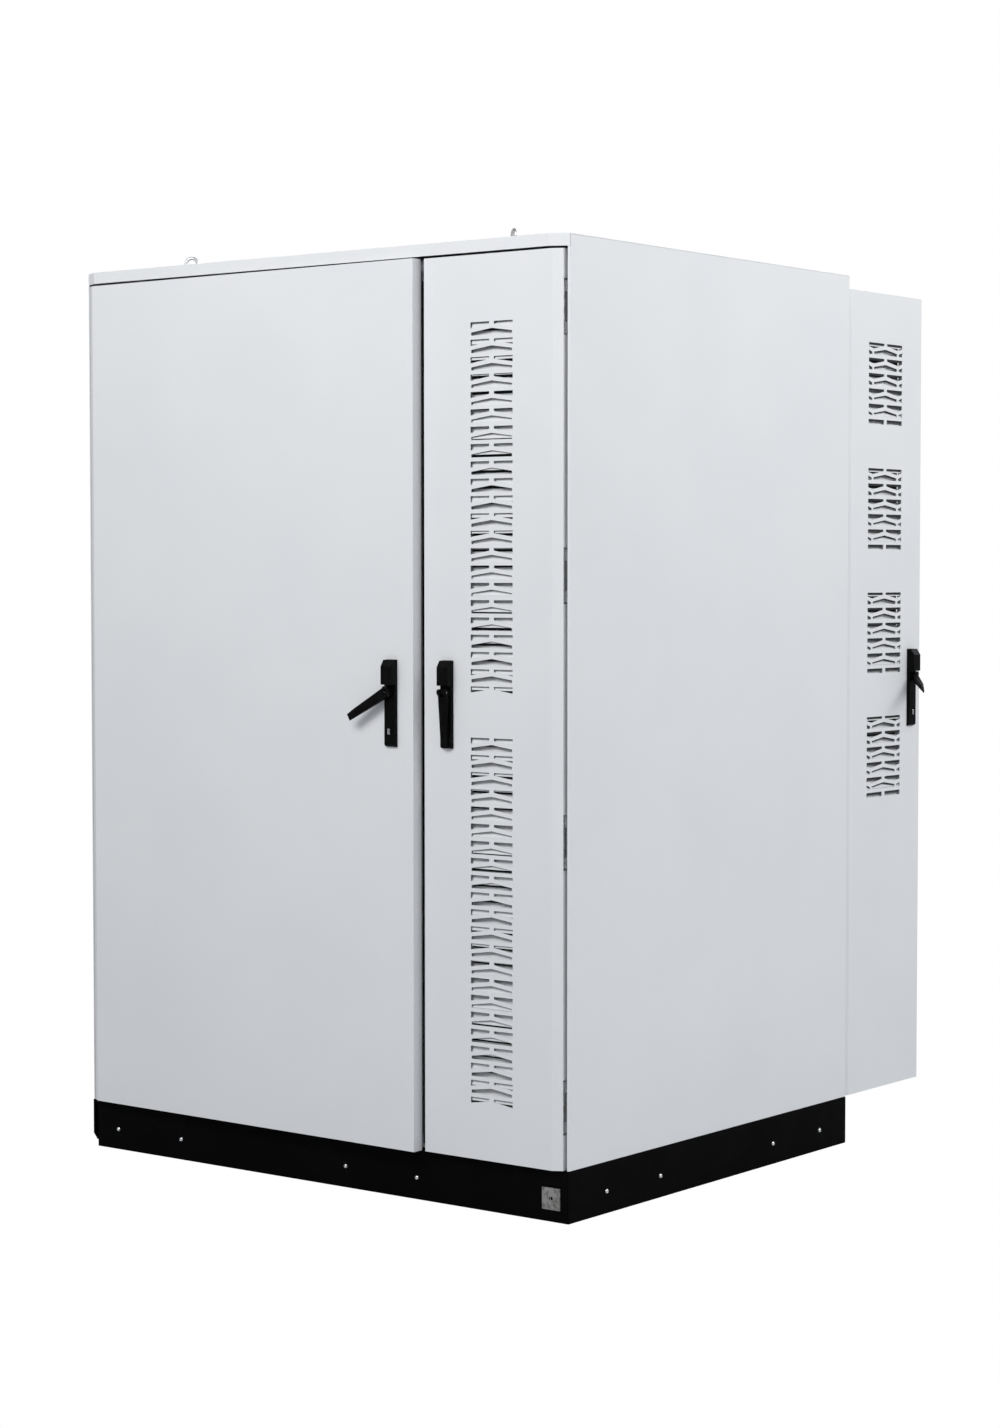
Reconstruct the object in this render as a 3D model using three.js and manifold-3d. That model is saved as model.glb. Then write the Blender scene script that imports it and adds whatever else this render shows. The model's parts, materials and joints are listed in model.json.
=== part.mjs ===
// Outdoor battery energy-storage cabinet.
// A powder-coated sheet-steel cabinet on a black plinth. A wide front door closes the battery bay, a
// narrow vented front door and a narrow vented rear door close the power bay beside it. Millimetres,
// +Z up, origin on the floor at the centre of the footprint, front face towards -Y.
import * as THREE from 'three';
import { mergeVertices } from 'three/addons/utils/BufferGeometryUtils.js';
import Module from 'manifold-3d';

const wasm = await Module();
wasm.setup();

// ---------------------------------------------------------------- driving dimensions
const HALF_WIDTH = 750;
const HALF_DEPTH = 595; // plinth and side panels, without the doors
const HEIGHT = 2200;
const SHEET = 2; // thickness of the folded sheet steel
const GAP = 0.3; // clearance between neighbouring pieces

const PLINTH_TOP = 118;
const BODY_BOTTOM = 119;
const DOOR_BOTTOM = 120;
const DOOR_TOP = 2167;
const ROOF_LIP_BOTTOM = 2172;
const ROOF_FRONT = 615;
const ROOF_CHAMFER = 43;
const EDGE_Y = 592; // where the side panels turn in

// Door hinges: the axis sits inside the chamfered corner of the door.
const HINGE_X = 731;
const HINGE_Y = 594;
const HINGE_LEVELS = [261, 854, 1447, 2040];
const KNUCKLE_RADIUS = 5.5;
const PIN_RADIUS = 3;
const PIN_HOLE = 3.5;
const HINGE_HEIGHT = 118;
const OUTER_KNUCKLE = 26;

// Door pan, measured from the hinge axis.
const FACE = 18; // outer face in front of the axis
const RETURN = 11; // edge flanges end this far behind the axis
const SIDE = 6.4; // hinge-side flange outside the axis
const CHAMFER_X = 14.8;
const CHAMFER_Y = 5.6;

const BATTERY_DOOR_WIDTH = 1070; // hinge axis to free edge
const POWER_DOOR_WIDTH = 379.5;
const REAR_DOOR_WIDTH = 363.6;
const BATTERY_DOOR_AJAR = 1.34; // degrees at rest
const REAR_DOOR_OPEN = 90;

// Door frames.
const FRAME_FRONT = 577;
const FRAME_DEPTH = 12;
const FRAME_OUTER_X = 744;
const OPENING_BOTTOM = 165;
const OPENING_TOP = 2125;
const BATTERY_OPENING = [-690, 300];
const POWER_OPENING = [390, 690];
const LIP_FRONT = 598;

// Swing handles, measured from the spindle: u sideways, v up, n out of the door.
const HANDLE_Z = 1182;
const HANDLE_HALF_WIDTH = 16;
const HANDLE_TOP = 72;
const HANDLE_BOTTOM = -128;
const BASE_THICKNESS = 9;
const HEAD_BOTTOM = 15;
const HEAD_THICKNESS = 22;
const LEVER_HALF_WIDTH = 12;
const LEVER_TIP_HALF_WIDTH = 8.5;
const LEVER_TIP = -127;
const LEVER_ROOT_RADIUS = 7.3;
const LIFT_PIVOT_N = 20;
const CATCH_V = -93; // a pocket in the lever goes over the catch on the base
const CAM_RADIUS = 16; // circle of the drive pins, and the travel of a lock rod
const UPPER_ROD_N = -31;
const LOWER_ROD_N = -34;
const ROD_THICKNESS = 2.5;

// Vent pattern: rows of two trapezoids over a chevron.
const VENT_PITCH = 39;
const VENT_GAP = 6.5;

// ---------------------------------------------------------------- solids
function solid(geometry) {
  geometry.deleteAttribute('normal');
  geometry.deleteAttribute('uv');
  const merged = mergeVertices(geometry);
  const vertProperties = Float32Array.from(merged.attributes.position.array);
  const triVerts = Uint32Array.from(merged.index.array);
  return new wasm.Manifold(new wasm.Mesh({ numProp: 3, vertProperties, triVerts }));
}

function join(solids) {
  return solids.reduce((whole, next) => whole.add(next));
}

function box([x0, x1], [y0, y1], [z0, z1]) {
  const geometry = new THREE.BoxGeometry(Math.abs(x1 - x0), Math.abs(y1 - y0), Math.abs(z1 - z0));
  geometry.translate((x0 + x1) / 2, (y0 + y1) / 2, (z0 + z1) / 2);
  return solid(geometry);
}

// Flat shape with holes. Its outline is turned anticlockwise, opposite to the holes.
function shapeOf(outline, holes = []) {
  const points = outline.map(([a, b]) => new THREE.Vector2(a, b));
  if (THREE.ShapeUtils.isClockWise(points)) points.reverse();
  const shape = new THREE.Shape(points);
  for (const hole of holes) {
    shape.holes.push(new THREE.Path(hole.map(([a, b]) => new THREE.Vector2(a, b))));
  }
  return shape;
}

function extrude(shapes, depth) {
  return new THREE.ExtrudeGeometry(shapes, { depth, bevelEnabled: false, curveSegments: 8 });
}

// A plan outline (x, y) raised from z0 to z1.
function prism(outline, z0, z1, holes = []) {
  const geometry = extrude(shapeOf(outline, holes), z1 - z0);
  geometry.translate(0, 0, z0);
  return solid(geometry);
}

// Front-view shapes (x, z) that fill y0 to y1.
function wallPlates(shapes, y0, y1) {
  const geometry = extrude(shapes, y1 - y0);
  geometry.rotateX(Math.PI / 2);
  geometry.translate(0, y1, 0);
  return solid(geometry);
}

function wallPlate(outline, y0, y1, holes = []) {
  return wallPlates([shapeOf(outline, holes)], y0, y1);
}

// Side-view outlines (y, z) that fill x0 to x1.
function sidePlates(outlines, x0, x1) {
  const geometry = extrude(outlines.map((outline) => shapeOf(outline)), x1 - x0);
  geometry.applyMatrix4(new THREE.Matrix4().set(0, 0, 1, 0, 1, 0, 0, 0, 0, 1, 0, 0, 0, 0, 0, 1));
  geometry.translate(x0, 0, 0);
  return solid(geometry);
}

function cylinderZ(radius, x, y, z0, z1, segments = 16) {
  const geometry = new THREE.CylinderGeometry(radius, radius, z1 - z0, segments);
  geometry.rotateX(Math.PI / 2);
  geometry.translate(x, y, (z0 + z1) / 2);
  return solid(geometry);
}

function cylinderY(radius, x, z, y0, y1, segments = 16) {
  const geometry = new THREE.CylinderGeometry(radius, radius, y1 - y0, segments);
  geometry.translate(x, (y0 + y1) / 2, z);
  return solid(geometry);
}

function cylinderX(radius, y, z, x0, x1, segments = 12) {
  const geometry = new THREE.CylinderGeometry(radius, radius, x1 - x0, segments);
  geometry.rotateZ(Math.PI / 2);
  geometry.translate((x0 + x1) / 2, y, z);
  return solid(geometry);
}

function rectangle(x0, x1, z0, z1) {
  return [[x0, z0], [x1, z0], [x1, z1], [x0, z1]];
}

function mirrored(outline, side) {
  return outline.map(([x, y]) => [side * x, y]);
}

// Closed outline of a folded sheet: the path, and the path moved to its left by the thickness.
function foldedSheet(path, thickness = SHEET) {
  const leftOf = (from, to) => {
    const length = Math.hypot(to[0] - from[0], to[1] - from[1]);
    return [(from[1] - to[1]) / length, (to[0] - from[0]) / length];
  };
  const inner = path.map((point, i) => {
    const first = i > 0 ? leftOf(path[i - 1], point) : leftOf(point, path[i + 1]);
    const second = i < path.length - 1 ? leftOf(point, path[i + 1]) : first;
    const scale = thickness / (1 + first[0] * second[0] + first[1] * second[1]);
    return [point[0] + (first[0] + second[0]) * scale, point[1] + (first[1] + second[1]) * scale];
  });
  return [...path, ...inner.reverse()];
}

// ---------------------------------------------------------------- finishes and pieces
const FINISHES = {
  paint: { color: 0xd9dbdd, roughness: 0.42, metalness: 0.0 },
  black: { color: 0x0b0b0c, roughness: 0.5, metalness: 0.0 },
  zinc: { color: 0xb9bcbf, roughness: 0.35, metalness: 0.9 },
  rubber: { color: 0x161616, roughness: 0.85, metalness: 0.0 },
  plastic: { color: 0x08080a, roughness: 0.45, metalness: 0.0 },
  pack: { color: 0x3a3d42, roughness: 0.5, metalness: 0.1 },
  unit: { color: 0x9da1a6, roughness: 0.45, metalness: 0.2 },
  red: { color: 0xb3201b, roughness: 0.4, metalness: 0.0 },
};

function piece(name, shape, finish) {
  const result = shape.getMesh();
  const geometry = new THREE.BufferGeometry();
  geometry.setAttribute('position', new THREE.BufferAttribute(result.vertProperties, 3));
  geometry.setIndex(new THREE.BufferAttribute(result.triVerts, 1));
  const mesh = new THREE.Mesh(geometry, new THREE.MeshStandardMaterial(FINISHES[finish]));
  mesh.name = name;
  return mesh;
}

// ---------------------------------------------------------------- plinth
const BASE_LEFT = -733.4;
const BASE_RIGHT = 747.4;
const BASE_Y = 592;
const BASE_TOP = 112;
const BEAM = 60;
const CROSS_BEAMS = [-300, -30, 340];
const FORK_POCKETS_X = [-551, 204];
const FORK_POCKETS_Y = [-338.5, 362.5];
const FORK_HALF_WIDTH = 80;
const FORK_Z = [20, 95];
const CHANNEL_WALL = 4;
const CHANNEL_FLOOR = 6;

// Welded frame of upright channels, open at the top, with pockets for a fork lift from every side.
function baseFrame() {
  const columns = [BASE_LEFT, ...CROSS_BEAMS, BASE_RIGHT - BEAM];
  let frame = box([BASE_LEFT, BASE_RIGHT], [-BASE_Y, BASE_Y], [0, BASE_TOP]);
  for (let i = 0; i < columns.length - 1; i += 1) {
    const x = [columns[i] + BEAM, columns[i + 1]];
    frame = frame.subtract(box(x, [BEAM / 2, BASE_Y - BEAM], [-1, BASE_TOP + 1]));
    frame = frame.subtract(box(x, [BEAM - BASE_Y, -BEAM / 2], [-1, BASE_TOP + 1]));
  }
  const trough = [CHANNEL_FLOOR, BASE_TOP + 1];
  for (const x of columns) {
    const y = [-BASE_Y + CHANNEL_WALL, BASE_Y - CHANNEL_WALL];
    frame = frame.subtract(box([x + CHANNEL_WALL, x + BEAM - CHANNEL_WALL], y, trough));
  }
  for (const y of [-BASE_Y, -BEAM / 2, BASE_Y - BEAM]) {
    const x = [BASE_LEFT + CHANNEL_WALL, BASE_RIGHT - CHANNEL_WALL];
    frame = frame.subtract(box(x, [y + CHANNEL_WALL, y + BEAM - CHANNEL_WALL], trough));
  }
  for (const x of FORK_POCKETS_X) {
    frame = frame.subtract(box([x - FORK_HALF_WIDTH, x + FORK_HALF_WIDTH], [-600, 600], FORK_Z));
  }
  for (const y of FORK_POCKETS_Y) {
    frame = frame.subtract(box([-760, 760], [y - FORK_HALF_WIDTH, y + FORK_HALF_WIDTH], FORK_Z));
  }
  return frame;
}

const EARTH_PLATE = { x: [676.5, 727], z: [27, 77], hole: 5 };

function frontPlinthCover() {
  const margin = 2.5;
  const window = rectangle(EARTH_PLATE.x[0] - margin, EARTH_PLATE.x[1] + margin,
    EARTH_PLATE.z[0] - margin, EARTH_PLATE.z[1] + margin);
  const outline = rectangle(BASE_LEFT, BASE_RIGHT + GAP, 0, PLINTH_TOP);
  return wallPlate(outline, -HALF_DEPTH, -HALF_DEPTH + SHEET, [window]);
}

function rearPlinthCover() {
  return wallPlate(rectangle(BASE_LEFT, BASE_RIGHT + GAP, 0, PLINTH_TOP), HALF_DEPTH - SHEET, HALF_DEPTH);
}

function rightPlinthCover() {
  return box([HALF_WIDTH - SHEET, HALF_WIDTH], [-HALF_DEPTH, HALF_DEPTH], [0, PLINTH_TOP]);
}

// The left cover stands proud of the base and turns in at its foot.
function leftPlinthCover() {
  const path = [[-HALF_WIDTH, PLINTH_TOP], [-HALF_WIDTH, 32], [-736.5, 16]];
  return wallPlate(foldedSheet(path), -HALF_DEPTH, HALF_DEPTH);
}

function earthingPlate() {
  const { x, z, hole } = EARTH_PLATE;
  const plate = box(x, [-HALF_DEPTH - 1.5, -BASE_Y - GAP], z);
  const centre = [(x[0] + x[1]) / 2, (z[0] + z[1]) / 2];
  return plate.subtract(cylinderY(hole, centre[0], centre[1], -600, -590));
}

// ---------------------------------------------------------------- cabinet shell
function floorPanel() {
  return box([-745, 745], [-575, 575], [PLINTH_TOP + GAP, DOOR_BOTTOM + GAP]);
}

function sidePanel(side) {
  const edge = [4.6, 2.6]; // the turned-in edge at the front and rear corners
  const path = [
    [HALF_WIDTH - edge[0], -EDGE_Y - edge[1]],
    [HALF_WIDTH, -EDGE_Y],
    [HALF_WIDTH, EDGE_Y],
    [HALF_WIDTH - edge[0], EDGE_Y + edge[1]],
  ];
  let panel = prism(mirrored(foldedSheet(path), side), BODY_BOTTOM, HEIGHT - SHEET - GAP);
  const notch = EDGE_Y - SHEET - GAP; // the roof skirts pass the ends of the panel
  for (const y of [[-600, -notch], [notch, 600]]) {
    panel = panel.subtract(box([side * 730, side * 760], y, [ROOF_LIP_BOTTOM - GAP, HEIGHT]));
  }
  return panel;
}

// Fixed panel behind the battery bay, folded like the doors.
function rearPanel() {
  const path = [[355.4, 583], [355.4, 612], [-716.2, 612], [-737.4, 599.6], [-737.4, 583]];
  const skin = prism(foldedSheet(path), DOOR_BOTTOM, DOOR_TOP);
  return join([skin, ...endFlanges(path).map(([outline, z0, z1]) => prism(outline, z0, z1))]);
}

// Ring bolts in the roof: corner, x, y and the way the ring faces, in degrees.
const LIFTING_EYES = [
  ['front_left', -505, -475, 38],
  ['front_right', 505, -475, -36],
  ['rear_left', -505, 475, 12],
  ['rear_right', 505, 475, 80],
];
const EYE_RING = 14.5;
const EYE_BAR = 4;
const EYE_CENTRE = 19.5;

// Flat roof with a skirt along the front and the rear.
function roofCover() {
  const frontEdge = [
    [-HALF_WIDTH, -EDGE_Y],
    [ROOF_CHAMFER - HALF_WIDTH, -ROOF_FRONT],
    [HALF_WIDTH - ROOF_CHAMFER, -ROOF_FRONT],
    [HALF_WIDTH, -EDGE_Y],
  ];
  const rearEdge = frontEdge.map(([x, y]) => [-x, -y]);
  const top = prism([...frontEdge, ...rearEdge], HEIGHT - SHEET, HEIGHT);
  const frontSkirt = prism(foldedSheet(frontEdge), ROOF_LIP_BOTTOM, HEIGHT - SHEET);
  const rearSkirt = prism(foldedSheet(rearEdge), ROOF_LIP_BOTTOM, HEIGHT - SHEET);
  return join([top, frontSkirt, rearSkirt]);
}

const KNUCKLE_SEGMENTS = 8;

function knuckleRound(x, y, z0, z1) {
  return cylinderZ(KNUCKLE_RADIUS, x, y, z0, z1, KNUCKLE_SEGMENTS);
}

function pinHole(x, y, z0, z1) {
  return cylinderZ(PIN_HOLE, x, y, z0 - 1, z1 + 1, KNUCKLE_SEGMENTS);
}

// Knuckles and arms welded to a door frame, for a door hinged at (x, y); inward points to its free edge.
function frameKnuckles(x, inward, rear) {
  const out = rear ? -1 : 1;
  const solids = [];
  for (const level of HINGE_LEVELS) {
    for (const end of [-1, 1]) {
      const outer = level + (end * HINGE_HEIGHT) / 2;
      const inner = outer - end * OUTER_KNUCKLE;
      const [z0, z1] = [Math.min(outer, inner), Math.max(outer, inner)];
      const y = -out * HINGE_Y;
      const reach = HINGE_Y - FRAME_FRONT + 1.5;
      const arm = [[-2, 0], [6, 0], [6, reach], [-2, reach]];
      const armOutline = arm.map(([u, v]) => [x + inward * u, y + out * v]);
      const knuckle = join([prism(armOutline, z0, z1), knuckleRound(x, y, z0, z1)]);
      solids.push(knuckle.subtract(pinHole(x, y, z0, z1)));
    }
  }
  return join(solids);
}

// Ring frame around the door openings, with a raised lip round each opening for the seal.
function doorFrame(openings, rear) {
  const toY = (y) => (rear ? y : -y);
  const between = (a, b) => [Math.min(toY(a), toY(b)), Math.max(toY(a), toY(b))];
  const ringX = [-FRAME_OUTER_X, FRAME_OUTER_X];
  const ringZ = [DOOR_BOTTOM + 2 * GAP, DOOR_TOP];
  const back = FRAME_FRONT - FRAME_DEPTH;
  const solids = [box(ringX, between(FRAME_FRONT, back), ringZ)];
  for (const [x0, x1] of openings) {
    const lipZ = [OPENING_BOTTOM - SHEET, OPENING_TOP + SHEET];
    solids.push(box([x0 - SHEET, x1 + SHEET], between(LIP_FRONT, FRAME_FRONT - 1), lipZ));
  }
  let frame = join(solids);
  for (const x of openings) {
    frame = frame.subtract(box(x, between(LIP_FRONT + 1, back - 1), [OPENING_BOTTOM, OPENING_TOP]));
  }
  return frame;
}

function frontFrame() {
  const frame = doorFrame([BATTERY_OPENING, POWER_OPENING], false);
  return join([frame, frameKnuckles(-HINGE_X, 1, false), frameKnuckles(HINGE_X, -1, false)]);
}

function rearFrame() {
  return join([doorFrame([POWER_OPENING], true), frameKnuckles(HINGE_X, -1, true)]);
}

function bayPartition() {
  const inner = FRAME_FRONT - FRAME_DEPTH - 1;
  return box([344, 346], [-inner, inner], [DOOR_BOTTOM + 2 * GAP, DOOR_TOP]);
}

function hingeRod() {
  const end = HINGE_HEIGHT / 2 + 4;
  return cylinderZ(PIN_RADIUS, 0, 0, HINGE_LEVELS[0] - end, HINGE_LEVELS[3] + end, KNUCKLE_SEGMENTS);
}

// Ring bolt that screws into the roof: collar and eye.
function liftingEye() {
  const collar = cylinderZ(11, 0, 0, GAP, 6, 12);
  const ring = new THREE.TorusGeometry(EYE_RING, EYE_BAR, 6, 12);
  ring.rotateX(Math.PI / 2);
  ring.translate(0, 0, EYE_CENTRE);
  return join([collar, solid(ring)]);
}

// ---------------------------------------------------------------- doors
// Top and bottom flanges of a folded pan, let a little way into its skin.
function endFlanges(path) {
  const skin = foldedSheet(path, SHEET / 2).slice(path.length).reverse();
  const last = skin.length - 1;
  const towards = Math.sign(path[1][1] - path[0][1]);
  skin[0][1] += towards * SHEET * 0.2;
  skin[last][1] += towards * SHEET * 0.2;
  return [[skin, DOOR_BOTTOM + GAP, DOOR_BOTTOM + SHEET], [skin, DOOR_TOP - SHEET, DOOR_TOP - GAP]];
}

// Every door is drawn closed, with its hinge axis at the origin and its face towards -Y. side is 1 when
// the free edge is towards +X, and -1 when it is towards -X.
function doorPan(width, side) {
  const path = [
    [-SIDE, RETURN],
    [-SIDE, -CHAMFER_Y],
    [CHAMFER_X, -FACE],
    [width, -FACE],
    [width, RETURN],
  ];
  let pan = join([
    prism(mirrored(foldedSheet(path), side), DOOR_BOTTOM, DOOR_TOP),
    ...endFlanges(path).map(([outline, z0, z1]) => prism(mirrored(outline, side), z0, z1)),
  ]);
  const half = HINGE_HEIGHT / 2 + 3;
  for (const level of HINGE_LEVELS) {
    const x = [side * (-SIDE - 1), side * -3.5];
    pan = pan.subtract(box(x, [-4.5, RETURN + 1], [level - half, level + half]));
  }
  return pan;
}

function cutHandleHole(pan, x) {
  return pan.subtract(cylinderY(7, x, HANDLE_Z, -FACE - 1, -FACE + SHEET + 1));
}

const SEAL = { hingeEdge: 30, freeEdge: 26, width: 16, z: [152, 2138] };

function doorSeal(width, side) {
  const outer = [SEAL.hingeEdge, width - SEAL.freeEdge];
  const inner = [outer[0] + SEAL.width, outer[1] - SEAL.width];
  const hole = mirrored(rectangle(...inner, SEAL.z[0] + SEAL.width, SEAL.z[1] - SEAL.width), side);
  const outline = mirrored(rectangle(...outer, ...SEAL.z), side);
  return wallPlate(outline, -FACE + SHEET + GAP, HINGE_Y - LIP_FRONT - GAP, [hole]);
}

// Stile inside the door with one knuckle for each hinge.
function doorHingeLeaf(side) {
  const back = -FACE + SHEET + GAP;
  const stile = [[18, back], [28, back], [28, back + 2.5], [18, back + 2.5]];
  const arm = [[-2.8, -4.7], [15, -15.2], [22, -15.2], [22, -11.5], [4.5, -1.5]];
  const half = HINGE_HEIGHT / 2 - OUTER_KNUCKLE - 1;
  const solids = [prism(mirrored(stile, side), DOOR_BOTTOM + 20, DOOR_TOP - 20)];
  for (const level of HINGE_LEVELS) {
    const z = [level - half, level + half];
    const armSolid = prism(mirrored(arm, side), ...z);
    solids.push(armSolid.add(knuckleRound(0, 0, ...z)).subtract(pinHole(0, 0, ...z)));
  }
  return join(solids);
}

// ---------------------------------------------------------------- vents
function ventShapes(centre, top, outlines) {
  const shapes = [];
  for (const outline of outlines) {
    shapes.push(shapeOf(outline.map(([x, z]) => [centre + x, top + z])));
  }
  return shapes;
}

function bothSides(outline) {
  return [outline, mirrored(outline, -1)];
}

const CHEVRON = [[0, -15], [58, -23], [58, -30], [-58, -30], [-58, -23]];
const NARROW_TRAPEZOID = [[VENT_GAP, 0], [60, 0], [60, -14], [VENT_GAP, -6]];
const WIDE_TRAPEZOID = [[VENT_GAP, 0], [84, 0], [84, -10], [61, -15], [VENT_GAP, -6]];
const SIDE_SLOT = [[66, -24], [84, -19], [84, -30], [66, -30]];

const POWER_VENTS = {
  centre: -185, halfWidth: 60, tops: [2016, 1081], rows: 22, height: 833, firstSlit: 17,
};
const REAR_VENTS = {
  centre: 181.4, halfWidth: 84, tops: [2040, 1720, 1402, 1083], rows: 5, height: 207, firstSlit: 12,
};

function powerVents({ centre, tops, rows }) {
  const shapes = [];
  for (const top of tops) {
    for (let row = 0; row < rows; row += 1) {
      const outlines = bothSides(NARROW_TRAPEZOID);
      if (row < rows - 1) outlines.push(CHEVRON);
      shapes.push(...ventShapes(centre, top - row * VENT_PITCH, outlines));
    }
  }
  return shapes;
}

function rearVents({ centre, tops, rows }) {
  const shapes = [];
  for (const top of tops) {
    for (let row = 0; row < rows; row += 1) {
      const outlines = [...bothSides(WIDE_TRAPEZOID), ...bothSides(SIDE_SLOT), CHEVRON];
      shapes.push(...ventShapes(centre, top - row * VENT_PITCH, outlines));
    }
    const lastRow = bothSides(rectangle(VENT_GAP, 84, -12, 0));
    shapes.push(...ventShapes(centre, top - rows * VENT_PITCH, lastRow));
  }
  return shapes;
}

function cutVents(pan, shapes) {
  return pan.subtract(wallPlates(shapes, -FACE - 1, -FACE + SHEET + 1));
}

// Rain louvre behind the vents: a shallow tray with sloping slats, which leave a slit between them.
// firstSlit is the depth of the highest slit below the top of a vent group.
const SLAT_PITCH = 35.35;
const SLAT_HEIGHT = 29.5;
const SLAT_SHEET = 2.5;
const TRAY_RAIL = 4;
const TRAY_MARGIN = 6;

function louvre({ centre, halfWidth, tops, height, firstSlit }) {
  const y = [-FACE + SHEET + GAP, -3];
  const slats = [];
  const heights = [];
  for (const top of tops) {
    const first = top - firstSlit + (SLAT_PITCH - SLAT_HEIGHT) / 2;
    const count = Math.ceil((height - firstSlit) / SLAT_PITCH) + 1;
    for (let i = 0; i < count; i += 1) {
      const z = first - i * SLAT_PITCH;
      heights.push(z, z + SLAT_HEIGHT);
      slats.push([
        [y[0] + 1, z],
        [y[1] - 1, z + SLAT_HEIGHT - SLAT_SHEET],
        [y[1] - 1, z + SLAT_HEIGHT],
        [y[0] + 1, z + SLAT_SHEET],
      ]);
    }
  }
  const x = [centre - halfWidth - TRAY_MARGIN, centre + halfWidth + TRAY_MARGIN];
  const z = [Math.min(...heights) - TRAY_MARGIN, Math.max(...heights) + TRAY_MARGIN];
  const outer = rectangle(x[0] - TRAY_RAIL, x[1] + TRAY_RAIL, z[0] - TRAY_RAIL, z[1] + TRAY_RAIL);
  return wallPlate(outer, ...y, [rectangle(...x, ...z)]).add(sidePlates(slats, x[0] - 1, x[1] + 1));
}

// ---------------------------------------------------------------- swing handles
// Drawn with the spindle along Y at the origin, u = X, v = Z and n = -Y.
function handleSection(outline, u0, u1) {
  return sidePlates([outline.map(([v, n]) => [-n, v])], u0, u1);
}

function handleBase() {
  const section = [
    [HANDLE_BOTTOM, GAP],
    [HANDLE_TOP, GAP],
    [HANDLE_TOP, HEAD_THICKNESS - 10],
    [HANDLE_TOP - 15, HEAD_THICKNESS],
    [HEAD_BOTTOM, HEAD_THICKNESS],
    [HEAD_BOTTOM, BASE_THICKNESS],
    [HANDLE_BOTTOM + 4, BASE_THICKNESS],
    [HANDLE_BOTTOM, BASE_THICKNESS - 4],
  ];
  const base = handleSection(section, -HANDLE_HALF_WIDTH, HANDLE_HALF_WIDTH);
  return base.subtract(cylinderY(5.5, 0, 0, -BASE_THICKNESS - 1, 1));
}

// Spindle, disc, tongue and lift pin outside the door, and the drive cam inside it.
function handleHub(side) {
  const tongue = [[-6, 11], [-6, LIFT_PIVOT_N], [-3, 24], [3, 24], [6, LIFT_PIVOT_N], [6, 11]];
  const camFront = 27;
  return join([
    cylinderY(5, 0, 0, -BASE_THICKNESS - 2, camFront + 1, 12),
    cylinderY(11, 0, 0, -12.3, -BASE_THICKNESS - 0.4, 16),
    handleSection(tongue, -3.9, 3.9),
    cylinderX(2.4, -LIFT_PIVOT_N, 0, -11.2, 11.2, 8),
    box([-CAM_RADIUS - 4, CAM_RADIUS + 4], [camFront, camFront + 3], [-7, 7]),
    cylinderY(2.5, side * CAM_RADIUS, 0, camFront + 2, -UPPER_ROD_N + ROD_THICKNESS, 8),
    cylinderY(2.5, -side * CAM_RADIUS, 0, camFront + 2, -LOWER_ROD_N + ROD_THICKNESS, 8),
  ]);
}

// Drawn folded down, about the handle's spindle.
function handleLever() {
  const arcSteps = 8;
  const root = [];
  for (let i = 0; i <= arcSteps; i += 1) {
    const angle = Math.PI / 2 - (Math.PI * i) / arcSteps;
    root.push([LEVER_ROOT_RADIUS * Math.cos(angle), LIFT_PIVOT_N + LEVER_ROOT_RADIUS * Math.sin(angle)]);
  }
  const underside = BASE_THICKNESS + 0.6;
  const section = [
    ...root,
    [-12, LIFT_PIVOT_N - LEVER_ROOT_RADIUS],
    [-14, underside],
    [LEVER_TIP, underside],
    [LEVER_TIP, 11],
    [LEVER_TIP + 6, 13],
    [LEVER_TIP + 23, 16.7],
    [-8, 21.5],
    [-4, LIFT_PIVOT_N + LEVER_ROOT_RADIUS - 1.2],
  ];
  const outline = [
    [-LEVER_TIP_HALF_WIDTH, LEVER_TIP - 1],
    [LEVER_TIP_HALF_WIDTH, LEVER_TIP - 1],
    [LEVER_HALF_WIDTH, -5],
    [LEVER_HALF_WIDTH, 10],
    [-LEVER_HALF_WIDTH, 10],
    [-LEVER_HALF_WIDTH, -5],
  ];
  const bar = handleSection(section, -LEVER_HALF_WIDTH - 1, LEVER_HALF_WIDTH + 1);
  const slot = box([-4.3, 4.3], [-40, -5], [-10.6, 10]);
  const pocket = box([-6.5, 6.5], [-14, -underside + 1], [CATCH_V - 8, CATCH_V + 8]);
  const pinHole = cylinderX(2.9, -LIFT_PIVOT_N, 0, -LEVER_HALF_WIDTH - 1, LEVER_HALF_WIDTH + 1);
  return bar.intersect(wallPlate(outline, -40, 0)).subtract(slot).subtract(pocket).subtract(pinHole);
}

// Flat lock rod with a window round its drive pin. up is 1 for the upper rod and -1 for the lower.
function lockRod(side, up, n, length) {
  const drive = side * up; // the side of the spindle on which the drive pin sits
  const y = [-n, -n + ROD_THICKNESS];
  const place = (outline) => outline.map(([u, v]) => [drive * u, up * v]);
  const outline = [[-6, -10], [21.5, -10], [21.5, length], [9.5, length], [9.5, 8], [-6, 8]];
  return wallPlate(place(outline), ...y, [place(rectangle(-3, 19.3, -6.5, 3.5))]);
}

// ---------------------------------------------------------------- door assemblies
const degrees = THREE.MathUtils.degToRad;

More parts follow.
